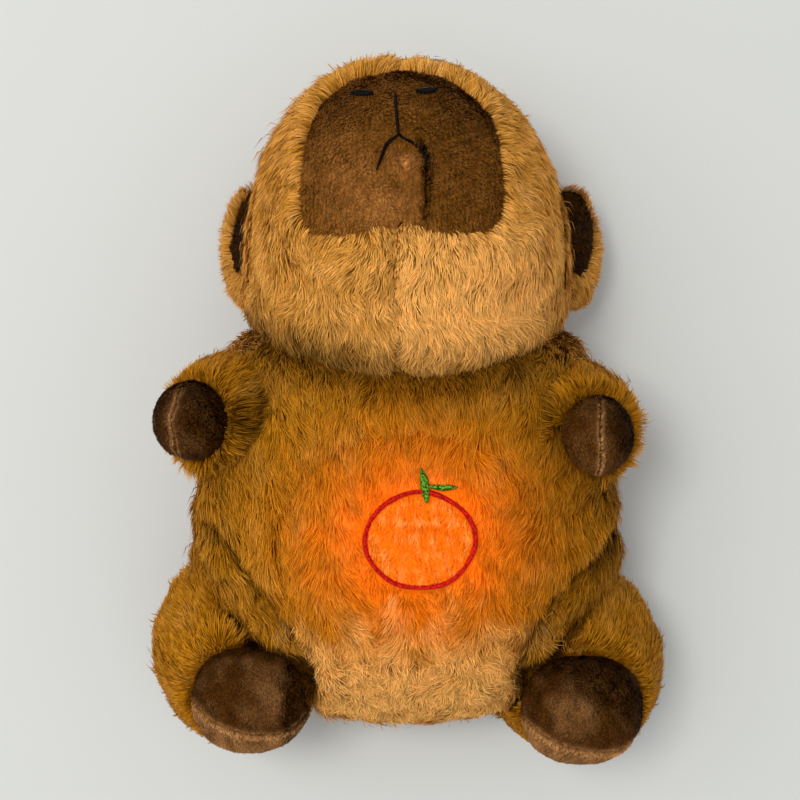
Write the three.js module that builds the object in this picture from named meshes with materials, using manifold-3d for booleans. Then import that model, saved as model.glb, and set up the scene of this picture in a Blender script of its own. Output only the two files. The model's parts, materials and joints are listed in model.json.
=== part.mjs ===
// A plush capybara that lies on its back while a small motor inside lifts its belly.
// Millimetres. +X to its right as seen from above, +Y towards the head, +Z up, belly up.
// The origin is on the flat of the back, under the middle of the body.

import * as THREE from 'three';
import { mergeVertices } from 'three/addons/utils/BufferGeometryUtils.js';
import Module from 'manifold-3d';

const wasm = await Module();
wasm.setup();

// Clearances

const seat = 0.3;            // between pieces that rest on or are sewn to each other
const slip = 0.5;            // round pieces that slide or turn
const swing = 0.7;           // between soft pieces that flex against each other
const overrun = 3;           // how far a cutter passes what it cuts
const restFlat = 0.5;        // depth of the flats that the toy lies on

// Plush

const plush = { wall: 5, dark: 1.6, sunk: 4 };
const torso = { length: 178, width: 179, front: 58, back: 56, middleY: 10 };
const neck = { y: 28, radius: 59, width: 172, nod: 18 };
const head = { length: 135, width: 134, throat: 63.5, crown: 69, x: 0, y: 127, z: 68, pitch: 65 };
const face = { width: 77, upper: 43, lower: 37.5, x: -2, rise: 7, reach: 40 };
const belly = { length: 92, width: 104, lift: 10 };
const fruit = { length: 38.4, width: 43.5, x: 5, y: 3, thread: 2.2 };
const leaf = { length: 13, width: 4.4, x: 2.7, lean: 2.4, side: 11, sideWidth: 3.4, flatShare: 0.4 };
const thread = { width: 2, dip: 0.45 };
const nostril = { length: 8.5, spread: 12.7, height: 26, x: -3, tilt: 12 };
const mouth = { top: 25, x: -2.6, fork: 0, drop: 13, spread: 9.4, bendShares: [0.6, 0.3] };
const eye = { length: 11, spread: 35, forward: 24, tilt: 11 };

const arm = { radius: 28, length: 46, back: 24, swing: 15 };
const paw = { width: 33, length: 36, dome: 14, socket: 5 };
const armLeft = { x: -61, y: 52, z: 60, towardX: -26, towardY: -2, towardZ: 38 };
const armRight = { x: 61, y: 50, z: 60, towardX: 15, towardY: -6, towardZ: 44 };
const leg = { radius: 40, length: 43, back: 36, swing: 12 };
const foot = { width: 51, length: 48, dome: 15, socket: 5 };
const legLeft = { x: -71, y: -48, z: 39, towardX: 8, towardY: -20, towardZ: 46 };
const legRight = { x: 71, y: -53, z: 39, towardX: 2, towardY: -19, towardZ: 46 };
const ear = {
  length: 54, width: 35, thickness: 15, wall: 2.8, above: -1.5, behind: 28, tilt: 38, flop: 15,
  left: 1, right: 5,
};
const lining = { depth: 3, thickness: 1.6 };

// The closure in the back

const zip = { y: -32, length: 80, width: 8, tape: 0.8, tapeZ: 7.2, travel: 66 };
const tooth = { pitch: 3, length: 1.6, width: 5.2, height: 1.2, spine: 1.2 };
const slider = { length: 8, base: 1.3, flange: 1, bridge: 1, arch: 1.6, foot: 1 };
const pull = { length: 14, width: 4.8, thickness: 1, bar: 1, arm: 1, neck: 4 };

// The breathing unit

const unit = { width: 68, length: 92, low: 20, high: 64, wall: 2, split: 50 };
const cell = { radius: 7.25, length: 50.5, pitch: 15.5, count: 3, nub: 2.7, nubLength: 1, play: 0.7 };
const bay = { y: -17.2, rib: 1.5, roof: 1.6 };
const contact = { thickness: 1, height: 11 };
const cover = { margin: 1.8, boss: 4 };
const screw = { head: 2.6, headHeight: 1.2, shank: 1.25, length: 6, inset: 1 };
const speaker = { radius: 13.5, height: 10, y: 29.5, magnet: 8, hole: 1.6, ring: 7.5, holes: 6 };
const board = { width: 22, length: 27, thickness: 1.6, y: 29.5, z: 27.4, chip: 8, chipHeight: 1.5 };
const button = { radius: 4, flange: 5.2, flangeHeight: 1, proud: 1.5, pitch: 9.5, travel: 1, click: 6 };
const motor = { gap: 4.2, width: 20, height: 15, nose: 3, noseLength: 1.2, shaft: 1 };
const gear = { fine: 0.6, coarse: 1, face: 4, step: 1, z: 51, y: 6, hub: 1.3 };
const toothCount = { small: 10, big: 30, last: 12 };
const toothShares = { top: 0.75, root: 1.15, topWidth: 0.0924, rootWidth: 0.306, rackTopWidth: 0.126 };
const axle = { radius: 1.25, overhang: 0.8 };
const frame = { plate: 1.5, base: 1.3, height: 17, margin: 5 };
const plate = { insetX: 3, insetY: 4, thickness: 2.5 };
const post = { radius: 2.5, insetX: 5, insetY: 6, length: 13 };
const rack = { width: 4, depth: 3, below: 7 };
const lamp = {
  radius: 2.5, rim: 3, rimHeight: 0.8, inset: 18, y: 24, board: 15, boardThickness: 1.4,
  domeShares: [0.7, 0.8, 0.9],
};
const glow = { radius: 11, thickness: 1.6, dome: 0.6, domeShares: [0.7, 0.8] };

// How finely the shapes are faceted

const facets = {
  torso: 30, torsoRings: 16, inner: 18, innerRings: 9, head: 26, headRings: 14, neck: 28,
  limb: 14, limbRings: 7, ear: 12, earRings: 8, round: 16, small: 10,
  thread: 5, stroke: 6, loop: 28, curve: 4,
};

// Colours

const finish = {
  fur: [0xb87a35, 0.95, 0], dark: [0x4a2f1c, 0.85, 0], lining: [0x1f140c, 0.9, 0],
  fill: [0xe8e4da, 1, 0], black: [0x111111, 0.7, 0], red: [0xc8101a, 0.6, 0], green: [0x3f8f2f, 0.6, 0],
  shell: [0xe9e9e4, 0.5, 0], metal: [0xb9bcc0, 0.35, 1], brass: [0xc9a24b, 0.35, 1],
  cell: [0x3a5f86, 0.4, 0.4], board: [0x1f6a3a, 0.6, 0], gear: [0xf2efe6, 0.45, 0],
  cone: [0x2b2b2d, 0.6, 0], lens: [0xfff2dc, 0.3, 0], tape: [0x8a5a28, 0.9, 0], knob: [0xd9772b, 0.5, 0],
};

const model = new THREE.Group();

function material([color, roughness, metalness]) {
  return new THREE.MeshStandardMaterial({ color, roughness, metalness });
}

// Solids

function solid(geometry) {
  const plain = geometry.clone();
  plain.deleteAttribute('normal');
  plain.deleteAttribute('uv');
  const merged = mergeVertices(plain, 1e-4);
  return new wasm.Manifold(new wasm.Mesh({
    numProp: 3,
    vertProperties: new Float32Array(merged.attributes.position.array),
    triVerts: new Uint32Array(merged.index.array),
  }));
}

function geometryOf(body) {
  const mesh = body.getMesh();
  const geometry = new THREE.BufferGeometry();
  const points = [];
  for (let i = 0; i < mesh.vertProperties.length; i += mesh.numProp) {
    points.push(mesh.vertProperties[i], mesh.vertProperties[i + 1], mesh.vertProperties[i + 2]);
  }
  geometry.setAttribute('position', new THREE.Float32BufferAttribute(points, 3));
  geometry.setIndex(Array.from(mesh.triVerts));
  geometry.computeVertexNormals();
  return geometry;
}

function add(name, shape, look, parent = model) {
  const geometry = shape.isBufferGeometry ? shape : geometryOf(shape);
  const mesh = new THREE.Mesh(geometry, material(look));
  mesh.name = name;
  parent.add(mesh);
  return mesh;
}

function join(...parts) {
  return parts.reduce((whole, part) => whole.add(part));
}

function cut(body, ...cutters) {
  return cutters.reduce((rest, cutter) => rest.subtract(cutter), body);
}

// A box between two corners
function block(x0, x1, y0, y1, z0, z1) {
  const geometry = new THREE.BoxGeometry(x1 - x0, y1 - y0, z1 - z0);
  return solid(geometry.translate((x0 + x1) / 2, (y0 + y1) / 2, (z0 + z1) / 2));
}

// A box about a point in plan, between two heights
function slab(x, y, halfX, halfY, z0, z1) {
  return block(x - halfX, x + halfX, y - halfY, y + halfY, z0, z1);
}

// A rod from z0 to z1
function rodZ(x, y, radius, z0, z1, sides = facets.round) {
  const geometry = new THREE.CylinderGeometry(radius, radius, z1 - z0, sides);
  return solid(geometry.rotateX(Math.PI / 2).translate(x, y, (z0 + z1) / 2));
}

function rodX(y, z, radius, x0, x1, sides = facets.small) {
  const geometry = new THREE.CylinderGeometry(radius, radius, x1 - x0, sides);
  return solid(geometry.rotateZ(Math.PI / 2).translate((x0 + x1) / 2, y, z));
}

// An upright rod of oval section
function ovalZ(x, y, halfX, halfY, z0, z1, sides) {
  const geometry = new THREE.CylinderGeometry(1, 1, z1 - z0, sides);
  return solid(geometry.rotateX(Math.PI / 2).scale(halfX, halfY, 1).translate(x, y, (z0 + z1) / 2));
}

// Soft forms

function power(value, exponent) {
  return Math.sign(value) * Math.abs(value) ** exponent;
}

function spline(shares) {
  const curve = new THREE.SplineCurve(shares.map((share, i) => new THREE.Vector2(i, share)));
  return (u) => curve.getPoint(u).y;
}

// Closed rings from one pole to the other, along Y
function ringed(rings, sides, ringAt) {
  const points = [...ringAt(0, 0)];
  for (let r = 1; r < rings; r += 1) {
    for (let s = 0; s < sides; s += 1) points.push(...ringAt(r / rings, (2 * Math.PI * s) / sides));
  }
  points.push(...ringAt(1, 0));
  const last = points.length / 3 - 1;
  const faces = [];
  const at = (r, s) => 1 + (r - 1) * sides + (s % sides);
  for (let s = 0; s < sides; s += 1) {
    faces.push(0, at(1, s), at(1, s + 1));
    for (let r = 1; r < rings - 1; r += 1) {
      faces.push(at(r, s), at(r + 1, s), at(r + 1, s + 1), at(r, s), at(r + 1, s + 1), at(r, s + 1));
    }
    faces.push(last, at(rings - 1, s + 1), at(rings - 1, s));
  }
  const geometry = new THREE.BufferGeometry();
  geometry.setAttribute('position', new THREE.Float32BufferAttribute(points, 3));
  geometry.setIndex(faces);
  return geometry;
}

// A stuffed form along Y: its half sizes swell by the shares, and its section is a rounded square that
// tapers from its front to its back
function stuffed(form, shares, sides, rings, margin = 0) {
  const widthAt = spline(shares.width);
  const frontAt = spline(shares.front);
  const backAt = spline(shares.back);
  return ringed(rings, sides, (u, angle) => {
    const full = Math.max(Math.sin(Math.PI * u), 0) ** shares.endShare;
    const c = power(Math.cos(angle), shares.squareShare);
    const s = power(Math.sin(angle), shares.squareShare);
    const halfZ = s > 0 ? (form.front + margin) * frontAt(u) : (form.back + margin) * backAt(u);
    const x = (form.width / 2 + margin) * widthAt(u) * full * c * (1 + shares.taperShare * s);
    return [x, -(form.length / 2 + margin) * Math.cos(Math.PI * u), halfZ * full * s];
  });
}

// A limb along Z, from its pole at the back over its rim into the socket in its end
function limb(size, end, shares, margin = 0) {
  const shape = new THREE.SplineCurve(shares.map(([r, l]) => new THREE.Vector2(r, l)));
  const rings = facets.limbRings;
  const socketZ = size.length - end.socket;
  const profile = [new THREE.Vector2(0, -size.back - margin)];
  for (let i = 1; i <= rings; i += 1) {
    const p = shape.getPoint(i / rings);
    const along = p.y < 0 ? p.y * (size.back + margin) : p.y * (size.length + margin);
    profile.push(new THREE.Vector2(p.x * (size.radius + margin), along));
  }
  if (margin > 0) {
    profile.push(new THREE.Vector2(0, size.length + margin));
    return new THREE.LatheGeometry(profile, facets.limb).rotateX(Math.PI / 2);
  }
  profile.push(new THREE.Vector2(end.width / 2 + seat, socketZ), new THREE.Vector2(0, socketZ));
  return new THREE.LatheGeometry(profile, facets.limb).rotateX(Math.PI / 2);
}

// The dark end of a limb, a dome that stands in the socket
function padDome(size, end, shares) {
  const low = size.length - end.socket + seat;
  const high = size.length + end.dome;
  const profile = shares.map(([r, l]) => new THREE.Vector2(r * end.width / 2, low + l * (high - low)));
  const geometry = new THREE.LatheGeometry(profile, facets.limb).rotateX(Math.PI / 2);
  return geometry.scale(1, Math.min(end.length / end.width, 1), 1);
}

function aim(place) {
  const way = new THREE.Vector3(place.towardX, place.towardY, place.towardZ).normalize();
  const turn = new THREE.Quaternion().setFromUnitVectors(new THREE.Vector3(0, 0, 1), way);
  const spot = new THREE.Vector3(place.x, place.y, place.z);
  return new THREE.Matrix4().compose(spot, turn, new THREE.Vector3(1, 1, 1));
}

// The geometry of a neighbour, as a hinge along X turns it the other way
function turnedAboutX(geometry, y, z, degrees) {
  const turn = THREE.MathUtils.degToRad(degrees);
  return geometry.clone().translate(0, -y, -z).rotateX(turn).translate(0, y, z);
}

function clearOf(body, neighbour, hinge, turns) {
  return turns.reduce((rest, degrees) => {
    const cutter = turnedAboutX(neighbour, hinge.y, hinge.z, -degrees);
    return rest.subtract(solid(cutter));
  }, body);
}

// Torso

const torsoShares = {
  width: [1.1, 1.04, 0.88, 0.93, 1, 1, 1.14, 1.4, 1.5],
  front: [0.8, 0.85, 0.92, 0.98, 1, 1, 1.1, 1.3, 1.4],
  back: [1.2, 1.2, 1.15, 1.05, 1, 1.04, 1.2, 1.5, 1.6],
  endShare: 0.83, squareShare: 0.84, taperShare: 0,
};
const barrelShares = { squareShare: 0.22, reachShare: 6 };

// The torso ends at the neck in a barrel that lies along X, so that the head can nod on it
function neckBarrel(margin) {
  const half = neck.width / 2 + margin;
  const profile = [];
  for (let i = 0; i <= facets.torsoRings; i += 1) {
    const x = -Math.cos((Math.PI * i) / facets.torsoRings);
    const r = (1 - Math.abs(x) ** barrelShares.reachShare) ** barrelShares.squareShare;
    profile.push(new THREE.Vector2(r * (neck.radius + margin), x * half));
  }
  profile[0].x = 0;
  profile[facets.torsoRings].x = 0;
  const geometry = new THREE.LatheGeometry(profile, facets.neck).rotateZ(-Math.PI / 2);
  return geometry.translate(0, neck.y, neck.radius - restFlat);
}

function torsoForm(margin, sides = facets.torso, rings = facets.torsoRings) {
  const form = solid(stuffed(torso, torsoShares, sides, rings, margin)
    .translate(0, torso.middleY, torso.back - restFlat));
  const reach = torso.length + torso.width;
  const trunk = block(-reach, reach, -reach, neck.y, -reach, reach);
  const whole = form.intersect(join(solid(neckBarrel(margin)), trunk));
  return margin > 0 ? whole : cut(whole, floorBelow(-margin));
}

// The oval that the belly slides in, drawn in by an inset
function bellyOval(inset, z0, z1) {
  return ovalZ(0, 0, belly.width / 2 - inset, belly.length / 2 - inset, z0, z1, facets.torso);
}

const lidTop = unit.high;
const plateLow = lidTop + seat;
const plateHigh = plateLow + plate.thickness;
const padLow = plateHigh + seat;
const bellyTop = torso.front + torso.back;
const skin = torsoForm(0);
const panelShape = bellyOval(seat, 0, bellyTop);
const sunkSkin = (depth) => solid(geometryOf(skin).translate(0, 0, -depth));

function makeTorso() {
  const shaft = bellyOval(0, bellyTop / 2, bellyTop + overrun);
  const slot = slab(0, zip.y, zip.length / 2 + seat, zip.width / 2, -overrun, zip.tapeZ + zip.tape + overrun);
  const inner = torsoForm(-plush.wall, facets.inner, facets.innerRings);
  add('torso_skin', cut(skin, inner, shaft, slot), finish.fur);

  const fill = torsoForm(-plush.wall - seat, facets.inner, facets.innerRings);
  const pocketLow = unit.low - button.proud - seat;
  const pocket = slab(0, 0, unit.width / 2 + seat, unit.length / 2 + seat, pocketLow, bellyTop);
  const well = bellyOval(0, plateLow - seat, bellyTop + overrun);
  const access = slab(0, zip.y, zip.length / 2 + seat, zip.width / 2, -overrun, unit.low);
  add('torso_stuffing', cut(fill, pocket, well, access), finish.fill);
}

// Belly

function makeBelly() {
  const panel = cut(skin.intersect(panelShape), sunkSkin(plush.wall + plush.sunk));
  const mesh = add('belly_panel', panel, finish.fur);
  const pad = sunkSkin(plush.wall + plush.sunk + seat).intersect(bellyOval(overrun, padLow, bellyTop));
  add('belly_pad', pad, finish.fill);
  return mesh;
}

// Threads that lie on a surface

function dropOn(mesh, point, way, lift) {
  const far = point.clone().addScaledVector(way, -torso.length);
  mesh.updateMatrixWorld(true);
  const hit = new THREE.Raycaster(far, way).intersectObject(mesh)[0];
  return hit.point.clone().addScaledVector(way, -lift);
}

// A rounded stroke along points, its half width given along it
function stroke(points, halfAt, flatShare = 1) {
  const curve = new THREE.CatmullRomCurve3(points);
  const rings = facets.stroke;
  const frames = curve.computeFrenetFrames(rings, false);
  const up = new THREE.Vector3(0, 0, 1);
  return ringed(rings, facets.thread, (u, angle) => {
    const p = curve.getPointAt(u);
    const way = frames.tangents[Math.round(u * rings)];
    const side = new THREE.Vector3().crossVectors(way, up).normalize();
    const rise = new THREE.Vector3().crossVectors(side, way).normalize();
    const half = u === 0 || u === 1 ? 0 : halfAt(u);
    p.addScaledVector(side, half * Math.cos(angle));
    p.addScaledVector(rise, half * flatShare * Math.sin(angle));
    return [p.x, p.y, p.z];
  });
}

const endShares = { blunt: 0.4, taper: 4, leaf: 0.7 };
const blunt = (half) => (u) => half * Math.min(1, endShares.taper * Math.min(u, 1 - u) + endShares.blunt);
const pointed = (half) => (u) => half * Math.sin(Math.PI * u) ** endShares.leaf;

// A closed loop of thread
function loop(pointAt, half, steps) {
  const points = [];
  const faces = [];
  const sides = facets.thread;
  const up = new THREE.Vector3(0, 0, 1);
  for (let i = 0; i < steps; i += 1) {
    const here = pointAt(i / steps);
    const before = pointAt(((i + steps - 1) % steps) / steps);
    const way = pointAt(((i + 1) % steps) / steps).sub(before).normalize();
    const side = new THREE.Vector3().crossVectors(way, up).normalize();
    for (let s = 0; s < sides; s += 1) {
      const angle = (2 * Math.PI * s) / sides;
      const p = here.clone().addScaledVector(side, half * Math.cos(angle));
      p.addScaledVector(up, half * Math.sin(angle));
      points.push(p.x, p.y, p.z);
      const next = ((i + 1) % steps) * sides;
      const around = (s + 1) % sides;
      faces.push(i * sides + s, next + s, next + around, i * sides + s, next + around, i * sides + around);
    }
  }
  const geometry = new THREE.BufferGeometry();
  geometry.setAttribute('position', new THREE.Float32BufferAttribute(points, 3));
  geometry.setIndex(faces);
  return geometry;
}

const down = new THREE.Vector3(0, 0, -1);

function makeFruit(panel) {
  const lift = seat + fruit.thread / 2;
  const at = (x, y) => dropOn(panel, new THREE.Vector3(x, y, 0), down, lift);
  const around = (u) => {
    const angle = 2 * Math.PI * u;
    return at(fruit.x + fruit.width / 2 * Math.cos(angle), fruit.y + fruit.length / 2 * Math.sin(angle));
  };
  add('fruit_outline', loop(around, fruit.thread / 2, facets.loop), finish.red);
  const rootY = fruit.y + fruit.length / 2 - leaf.width;
  const above = (p) => p.add(new THREE.Vector3(0, 0, fruit.thread));
  const rootX = fruit.x + leaf.x;
  const stem = [at(rootX, rootY), at(rootX - leaf.lean / 2, rootY + leaf.length / 2),
    at(rootX - leaf.lean, rootY + leaf.length)].map(above);
  add('leaf_stem', stroke(stem, pointed(leaf.width / 2), leaf.flatShare), finish.green);
  const sideX = rootX + leaf.width / 2 + seat - leaf.lean / 2;
  const sideY = fruit.y + fruit.length / 2 + fruit.thread / 2 + leaf.sideWidth / 2 + seat;
  const side = [at(sideX, sideY), at(sideX + leaf.side / 2, sideY - leaf.width / 8),
    at(sideX + leaf.side, sideY + leaf.width / 8)];
  add('leaf_side', stroke(side, pointed(leaf.sideWidth / 2), leaf.flatShare), finish.green);
}

// Head, a rounded box along its snout

const headShares = {
  width: [1.05, 1.04, 1.02, 1.01, 1, 0.97, 0.94, 0.96, 1],
  front: [0.95, 0.95, 0.97, 1, 1.06, 1.1, 1.06, 1.0, 1],
  back: [1.1, 1.08, 1.04, 1, 1, 1.03, 1.06, 1.02, 1],
  endShare: 0.78, squareShare: 0.88, taperShare: 0.09,
};

const headPlace = new THREE.Matrix4().makeTranslation(head.x, head.y, head.z)
  .multiply(new THREE.Matrix4().makeRotationX(THREE.MathUtils.degToRad(head.pitch)));

function headGeometry(margin, sides = facets.head, rings = facets.headRings) {
  const form = { length: head.length, width: head.width, front: head.throat, back: head.crown };
  return stuffed(form, headShares, sides, rings, margin).applyMatrix4(headPlace);
}

// All that lies below a height
function floorBelow(z) {
  const reach = torso.length + head.length;
  return block(-reach, reach, -reach, reach, -reach, z);
}

function headForm(margin, sides, rings) {
  const inset = Math.max(0, -margin);
  const form = solid(headGeometry(margin, sides, rings));
  return cut(form, solid(neckBarrel(swing + inset)), floorBelow(inset));
}

// Outline of the dark plush of the face, seen along the snout: half of it, from the notch at the throat
const notchShare = 0.92;
const faceShares = [
  [[0.2, -1.02], [0.5, -1.04], [0.74, -0.98]],
  [[0.97, -0.92], [1.04, -0.7], [1, -0.35]],
  [[0.98, 0.3], [0.9, 0.98], [0, 1]],
];

function faceOutline(margin) {
  const w = face.width / 2 + margin;
  const t = face.upper + margin;
  const b = face.lower + margin;
  const at = ([x, y], sign) => [sign * x * w, y * (y < 0 ? b : t)];
  const ends = [[0, -notchShare], ...faceShares.map((share) => share[2])];
  const shape = new THREE.Shape();
  shape.moveTo(...at(ends[0], 1));
  faceShares.forEach(([near, far, end]) => shape.bezierCurveTo(...at(near, 1), ...at(far, 1), ...at(end, 1)));
  for (let i = faceShares.length - 1; i >= 0; i -= 1) {
    const [near, far] = faceShares[i];
    shape.bezierCurveTo(...at(far, -1), ...at(near, -1), ...at(ends[i], -1));
  }
  return shape;
}

// The outline as a prism along the snout, from the middle of the head forwards
function facePrism(margin) {
  const options = { depth: head.length, bevelEnabled: false, curveSegments: facets.curve };
  const prism = new THREE.ExtrudeGeometry(faceOutline(margin), options);
  return solid(prism.rotateX(-Math.PI / 2).translate(face.x, head.length / 2 - face.reach, -face.rise)
    .applyMatrix4(headPlace));
}

const snout = new THREE.Vector3(0, 1, 0).transformDirection(headPlace);

function sunkHead(depth) {
  const shift = snout.clone().multiplyScalar(-depth);
  return solid(headGeometry(0).translate(shift.x, shift.y, shift.z));
}

function makeHead() {
  const outer = headForm(0);
  const recess = cut(facePrism(seat), sunkHead(plush.sunk));
  const inner = headForm(-plush.wall - plush.sunk, facets.inner, facets.innerRings);
  const hole = block(-head.width / 5, head.width / 5, neck.y, head.y, neck.radius - head.width / 6,
    neck.radius + head.width / 6);
  add('head_skin', cut(outer, recess, inner, hole), finish.fur);
  const fill = headForm(-plush.wall - plush.sunk - seat, facets.inner, facets.innerRings);
  add('head_stuffing', fill, finish.fill);
  const proud = plush.sunk - seat - plush.dark;
  const patch = cut(sunkHead(proud).intersect(facePrism(0)), sunkHead(plush.sunk - seat));
  return add('face_patch', patch, finish.dark);
}

// A point on the face, across and up it, lifted off its plush
function onFace(mesh, across, up, lift) {
  const start = new THREE.Vector3(face.x + across, 0, -face.rise - up).applyMatrix4(headPlace);
  return dropOn(mesh, start, snout.clone().negate(), lift);
}

function makeFace(patch) {
  const half = thread.width / 2;
  const lift = seat + half + thread.dip;
  const at = (x, y) => onFace(patch, x, y, lift);
  for (const [side, sign] of [['left', -1], ['right', 1]]) {
    const drop = Math.sin(THREE.MathUtils.degToRad(nostril.tilt)) * nostril.length / 2;
    const middle = nostril.x + sign * nostril.spread;
    const outer = middle + sign * nostril.length / 2;
    const inner = middle - sign * nostril.length / 2;
    const high = nostril.height + drop;
    const low = nostril.height - drop;
    const line = [at(outer, high), at(middle, nostril.height), at(inner, low)];
    add(`nostril_${side}`, stroke(line, blunt(half)), finish.black);
  }
  const middle = (mouth.top + mouth.fork) / 2;
  const strokes = [[[mouth.x, mouth.top], [mouth.x / 2, middle], [0, mouth.fork - thread.width]]];
  for (const sign of [-1, 1]) {
    const bend = [sign * mouth.spread * mouth.bendShares[0], mouth.fork - mouth.drop * mouth.bendShares[1]];
    strokes.push([[0, mouth.fork + thread.width], bend, [sign * mouth.spread, mouth.fork - mouth.drop]]);
  }
  const lines = strokes.map((line) => solid(stroke(line.map(([x, y]) => at(x, y)), blunt(half))));
  add('mouth_stitch', join(...lines), finish.black);
}

function makeEyes(skinMesh) {
  const half = thread.width / 2;
  for (const [side, sign] of [['left', -1], ['right', 1]]) {
    const crown = new THREE.Vector3(0, 0, 1).transformDirection(headPlace);
    const at = (along) => {
      const across = sign * (eye.spread + along);
      const forward = eye.forward - Math.abs(along) * Math.tan(THREE.MathUtils.degToRad(eye.tilt));
      const start = new THREE.Vector3(across, forward, 0).applyMatrix4(headPlace);
      return dropOn(skinMesh, start, crown, seat + half + thread.dip);
    };
    const line = [at(-eye.length / 2), at(0), at(eye.length / 2)];
    add(`eye_${side}`, stroke(line, blunt(half)), finish.black);
  }
}

// Ears

const earHalf = head.width / 2;
const earY = head.y + ear.above;
const earZ = head.z - ear.behind;
const earShares = {
  width: [1, 1, 1, 1, 1], front: [1, 1, 1, 1, 1], back: [1, 1, 1, 1, 1],
  endShare: 0.9, squareShare: 1, taperShare: 0,
};

function makeEar(side, sign) {
  const earX = earHalf + ear[side];
  const place = (geometry) => geometry.rotateY(sign * THREE.MathUtils.degToRad(ear.tilt))
    .translate(sign * earX, earY, earZ);
  const oval = (inset, rise) => {
    const half = ear.thickness / 2;
    const form = { length: ear.length - 2 * inset, width: ear.width - 2 * inset, front: half, back: half };
    return solid(place(stuffed(form, earShares, facets.ear, facets.earRings).translate(0, 0, rise)));
  };
  const dish = ear.thickness - lining.depth;
  const clear = [-ear.flop, 0, ear.flop].map((turn) => {
    const root = sign * (earX - ear.width / 2);
    const near = headGeometry(seat).translate(-root, 0, -earZ).rotateY(THREE.MathUtils.degToRad(turn));
    return solid(near.translate(root, 0, earZ));
  });
  add(`ear_${side}`, cut(oval(0, 0), oval(ear.wall, dish), ...clear), finish.fur);
  const inset = ear.wall + seat;
  const film = cut(oval(inset, dish + seat), oval(inset, dish + seat + lining.thickness));
  add(`ear_lining_${side}`, cut(film.intersect(oval(0, 0)), ...clear), finish.lining);
}

// Limbs

const armShares = [[0, -1], [0.62, -0.86], [0.95, -0.4], [1, 0.1], [0.94, 0.5], [0.8, 0.82], [0.66, 1]];
const legShares = [[0, -1], [0.6, -0.88], [0.92, -0.45], [1, 0.05], [0.96, 0.4], [0.82, 0.8], [0.68, 1]];
const domeShares = [[0, 0], [0.97, 0], [1, 0.2], [0.97, 0.45], [0.8, 0.76], [0.45, 0.95], [0, 1]];

function makeLimb(names, place, size, end, shares, neighbours) {
  const spot = aim(place);
  let body = solid(limb(size, end, shares).applyMatrix4(spot));
  for (const neighbour of neighbours) body = clearOf(body, neighbour, place, [-size.swing, 0, size.swing]);
  add(names[0], cut(body, floorBelow(seat)), finish.fur);
  let dome = solid(padDome(size, end, domeShares).applyMatrix4(spot));
  dome = clearOf(dome, neighbours[0], place, [-size.swing, 0, size.swing]);
  add(names[1], dome, finish.dark);
}

function makeLimbs() {
  const torsoNear = geometryOf(torsoForm(swing));
  const headNear = headGeometry(swing);
  const headNodded = turnedAboutX(headNear, neck.y, neck.radius, neck.nod);
  const headHalf = turnedAboutX(headNear, neck.y, neck.radius, neck.nod / 2);
  const nearArms = [torsoNear, headNear, headHalf, headNodded];
  makeLimb(['arm_left', 'paw_left'], armLeft, arm, paw, armShares, nearArms);
  makeLimb(['arm_right', 'paw_right'], armRight, arm, paw, armShares, nearArms);
  makeLimb(['leg_left', 'foot_left'], legLeft, leg, foot, legShares, [torsoNear]);
  makeLimb(['leg_right', 'foot_right'], legRight, leg, foot, legShares, [torsoNear]);
}

// Closure

const sliderX = -zip.travel / 2;
const teethLow = zip.tapeZ - seat - tooth.height;
const sliderHigh = teethLow - seat;
const sliderLow = sliderHigh - slider.base;

function makeZip() {
  const half = zip.length / 2 - seat;
  add('zip_tape', block(-half, half, zip.y - zip.width / 2 + seat, zip.y + zip.width / 2 - seat, zip.tapeZ,
    zip.tapeZ + zip.tape), finish.tape);
  const count = Math.floor((2 * half - tooth.pitch) / tooth.pitch / 2) * 2;
  const start = -count * tooth.pitch / 2;
  const lower = [];
  const upper = [];
  for (let i = 0; i < count; i += 1) {
    const middle = start + tooth.pitch / 2 + i * tooth.pitch;
    const [side, sign] = i % 2 ? [upper, 1] : [lower, -1];
    const near = middle - tooth.length / 2;
    const far = middle + tooth.length / 2;
    side.push([near, sign * tooth.spine / 2], [near, sign * tooth.width / 2], [far, sign * tooth.width / 2],
      [far, sign * tooth.spine / 2]);
  }
  const spine = tooth.spine / 2;
  const corners = [[start, -spine], ...lower, [-start, -spine], [-start, spine], ...upper.reverse(),
    [start, spine]];
  const outline = new THREE.Shape(corners.map(([x, y]) => new THREE.Vector2(x, y)));
  const teeth = new THREE.ExtrudeGeometry(outline, { depth: tooth.height, bevelEnabled: false })
    .translate(0, zip.y, teethLow);
  add('zip_teeth', teeth, finish.brass);
}

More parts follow.
